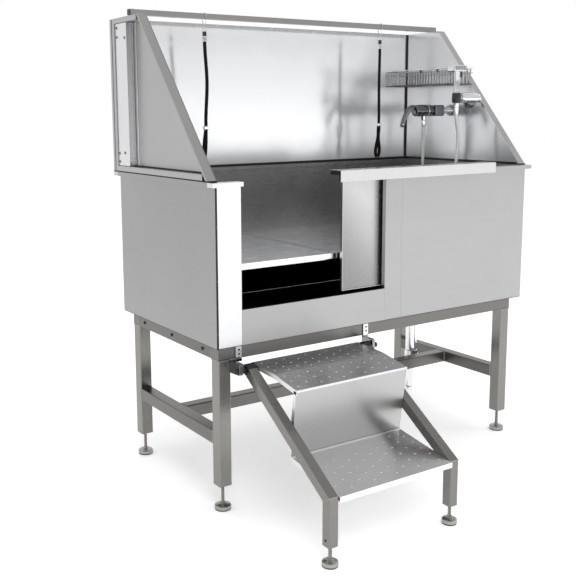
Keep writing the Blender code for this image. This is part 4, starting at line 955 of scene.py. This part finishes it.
def strap_piece(tag, x, low, wide, twist):
    node = "strap_" + tag
    web_w, web_t = 0.0125, 0.0020
    # swivel ring, slider and buckle at the top
    bm = bmesh.new()
    ring = [D(x + 0.0060 * math.sin(a), RYC, 1.3960 + 0.0080 * math.cos(a)) for a in [2 * math.pi * k / 20 for k in range(20)]]
    bm_sweep(bm, ring, 0.0013, 8, closed=True)
    r1 = publish(f"strap_ring_{tag}", bm, CHROME, node, smooth=60)
    slider = box_piece(f"strap_slider_{tag}", [(x - 0.0066, x + 0.0066, RYC - 0.0026, RYC + 0.0026, 1.3785, 1.3930)], PLASTIC, node, 0.0012, segments=3)
    bm = bmesh.new()
    frame_pts = fillet([(x, RYC, 1.3775), (x - 0.0068, RYC, 1.3775), (x - 0.0068, RYC, 1.3625), (x + 0.0068, RYC, 1.3625), (x + 0.0068, RYC, 1.3775), (x, RYC, 1.3775)], 0.003, 3)[:-1]
    bm_sweep(bm, [D(*p) for p in frame_pts], 0.0017, 8, closed=True)
    bm_box(bm, x - 0.0056, x + 0.0056, RYC - 0.0009, RYC + 0.0009, 1.3630, 1.3765)
    buckle = publish(f"strap_buckle_{tag}", bm, CHROME, node, smooth=60)
    # the webbing: down to the lock, round the loop and back up to the lock
    lock_z = 1.0870
    path, sides = [], []
    top_z = 1.3640
    steps = 22
    for k in range(steps + 1):
        t = k / steps
        z = top_z + (lock_z - top_z) * t
        bow = (0.0065 if tag == "left" else -0.0015) * math.sin(math.pi * min(1.0, t * 1.05)) ** 2
        path.append(D(x + bow, RYC, z))
        sides.append(Vector((1, 0, 0)))
    height = lock_z - low
    half = wide / 2 - web_t / 2
    drift = -0.0060 if twist else -0.0080
    loop_steps = 44
    for k in range(1, loop_steps):
        t = k / loop_steps
        a = 2 * math.pi * t
        z = lock_z - height * (1 - math.cos(a)) / 2
        if twist:
            px = -half * math.sin(2 * a) * (0.72 if t < 0.25 or t > 0.75 else 1.0)
            depth = 0.0048 * math.cos(a / 2)
            py = -0.0046 * math.cos(math.pi * t) - 0.0 * depth
        else:
            px = -half * math.sin(a) * (0.55 + 0.45 * (1 - math.cos(a)) / 2)
            py = -0.0034 * math.cos(math.pi * t)
        px += drift * math.sin(math.pi * t) ** 2
        path.append(D(x + px, RYC + py, z))
        ang = math.radians(-18)
        # the band turns by up to 18 degrees as it opens into the loop
        open_ = min(1.0, t / 0.12, (1 - t) / 0.12)
        ang *= open_
        sides.append(Vector((math.cos(ang), math.sin(ang), 0)))
    path.append(D(x, RYC + 0.0040, lock_z - 0.002))
    sides.append(Vector((1, 0, 0)))
    widths = web_w
    bm = bmesh.new()
    # band of the webbing's full width along the whole path
    rings = []
    n = len(path)
    for k, (p, s) in enumerate(zip(path, sides)):
        a, b = path[max(0, k - 1)], path[min(n - 1, k + 1)]
        d = (b - a).normalized()
        s = (s - d * s.dot(d)).normalized()
        o = d.cross(s)
        w = web_w
        prof = rounded_rect(w, web_t, web_t * 0.45, 2)
        rings.append([bm.verts.new(p + s * u + o * v) for u, v in prof])
    bm.faces.new(rings[0])
    bm.faces.new(list(reversed(rings[-1])))
    for one, two in zip(rings, rings[1:]):
        ring_faces(bm, one, two)
    web = publish("v_" + node, bm, WEB, node, (node,), smooth=60)
    lock = box_piece(f"strap_lock_{tag}", [(x - 0.0088, x + 0.0088, RYC - 0.0068, RYC + 0.0068, lock_z - 0.0055, lock_z + 0.0055)], CHROME, node, 0.0018, segments=3)
    length = sum((b - a).length for a, b in zip(path, path[1:]))
    return web, path, length, (r1, slider, buckle, lock)


for tag, x, low, wide, twist in (("left", 0.262, 0.9915, 0.012, False), ("right", 1.001, 0.9705, 0.017, True)):
    hook_piece(tag, x)
    strap_piece(tag, x, low, wide, twist)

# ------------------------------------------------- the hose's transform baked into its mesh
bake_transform(hose)

# ---------------------------------------------------------------- studio
bm = bmesh.new()
R = 16.0
ring = [bm.verts.new((R * math.cos(2 * math.pi * k / 96), 13.4 + R * math.sin(2 * math.pi * k / 96), 0.0)) for k in range(96)]
bm.faces.new(ring)
mesh = bpy.data.meshes.new("studio_floor")
bm.to_mesh(mesh)
bm.free()
mat, nt, bsdf, coord = _new("studio_floor")
nt.links.new(_tint(nt, (0.93, 0.93, 0.93), _range(nt, _noise(nt, coord.outputs["Object"], 0.6), 0.985, 1.015)), bsdf.inputs["Base Color"])
bsdf.inputs["Roughness"].default_value = 0.9
bsdf.inputs["Specular IOR Level"].default_value = 0.1
bsdf.inputs["Emission Color"].default_value = (1, 1, 1, 1)
bsdf.inputs["Emission Strength"].default_value = 0.30
mesh.materials.append(mat)
floor = bpy.data.objects.new("studio_floor", mesh)
SCENE.collection.objects.link(floor)

world = bpy.data.worlds.new("studio")
SCENE.world = world
world.use_nodes = True
wn = world.node_tree
bg = wn.nodes["Background"]
tc = wn.nodes.new("ShaderNodeTexCoord")
sep = wn.nodes.new("ShaderNodeSeparateXYZ")
wn.links.new(tc.outputs["Generated"], sep.inputs[0])
mr = wn.nodes.new("ShaderNodeMapRange")
mr.inputs["From Min"].default_value = -1.0
mr.inputs["From Max"].default_value = 1.0
wn.links.new(sep.outputs["Z"], mr.inputs["Value"])


def sky(stops):
    """Brightness by height: stops are (sine of the elevation, level)."""
    ramp = wn.nodes.new("ShaderNodeValToRGB")
    wn.links.new(mr.outputs["Result"], ramp.inputs["Fac"])
    el = ramp.color_ramp.elements
    (z0, v0), (z1, v1) = stops[0], stops[-1]
    el[0].position, el[0].color = (z0 + 1) / 2, (v0, v0, v0, 1)
    el[1].position, el[1].color = (z1 + 1) / 2, (v1, v1, v1, 1)
    for z, v in stops[1:-1]:
        e = el.new((z + 1) / 2)
        e.color = (v, v, v * 1.01, 1)
    return ramp.outputs["Color"]


# white behind the tub; the room in front of it darkens above eye level
front_sky = sky(((-1.0, 1.0), (-0.30, 1.25), (-0.10, 1.60), (-0.02, 1.60), (0.02, 0.85), (0.06, 0.48), (0.12, 0.50), (0.20, 0.64), (0.48, 0.84), (0.66, 0.64), (1.0, 0.80)))
back_sky = sky(((-1.0, 1.0), (0.22, 1.0), (0.45, 0.95), (0.7, 0.80), (1.0, 0.80)))
side_mix = wn.nodes.new("ShaderNodeMapRange")
side_mix.inputs["From Min"].default_value = -0.20
side_mix.inputs["From Max"].default_value = 0.15
wn.links.new(sep.outputs["Y"], side_mix.inputs["Value"])
mixed = wn.nodes.new("ShaderNodeMix")
mixed.data_type = "RGBA"
wn.links.new(side_mix.outputs["Result"], mixed.inputs["Factor"])
wn.links.new(front_sky, mixed.inputs["A"])
wn.links.new(back_sky, mixed.inputs["B"])
wn.links.new(mixed.outputs["Result"], bg.inputs["Color"])
bg.inputs["Strength"].default_value = 1.0


def area(name, at, to, size, power, size_y=None):
    data = bpy.data.lights.new(name, "AREA")
    data.energy = power
    data.size = size
    if size_y:
        data.shape = "RECTANGLE"
        data.size_y = size_y
    obj = bpy.data.objects.new(name, data)
    obj.visible_glossy = False
    SCENE.collection.objects.link(obj)
    at, to = Vector(at), Vector(to)
    obj.matrix_world = Matrix.Translation(at) @ (to - at).to_track_quat("-Z", "Y").to_matrix().to_4x4()
    return obj


area("key", (-1.6, -2.6, 3.2), (0, 0, 0.7), 1.6, 40)
area("fill", (3.0, -1.8, 2.4), (0, 0, 0.7), 1.6, 18)
area("top", (0.2, 0.3, 4.0), (0, 0, 0.5), 2.4, 35)

SCENE.view_settings.view_transform = "Standard"
SCENE.view_settings.look = "None"

bpy.context.view_layer.update()


def outside(name, direction, material):
    """Gives the faces that look out of the tub a darker steel copy than the inner faces, whose brighter copies paint
    the light inside the tub.
    """
    obj = bpy.data.objects[name]
    obj.data.materials.append(material)
    turn = obj.matrix_world.to_3x3()
    for poly in obj.data.polygons:
        if (turn @ poly.normal).dot(Vector(direction)) > 0.5:
            poly.material_index = len(obj.data.materials) - 1


outside("v_rear_wall", (0, 1, 0), SIDE)
outside("v_back_splash_panel", (0, 1, 0), FRONT)
outside("v_right_splash_panel", (1, 0, 0), SIDE)
outside("v_right_splash_panel", (0, 1, 0), SIDE)
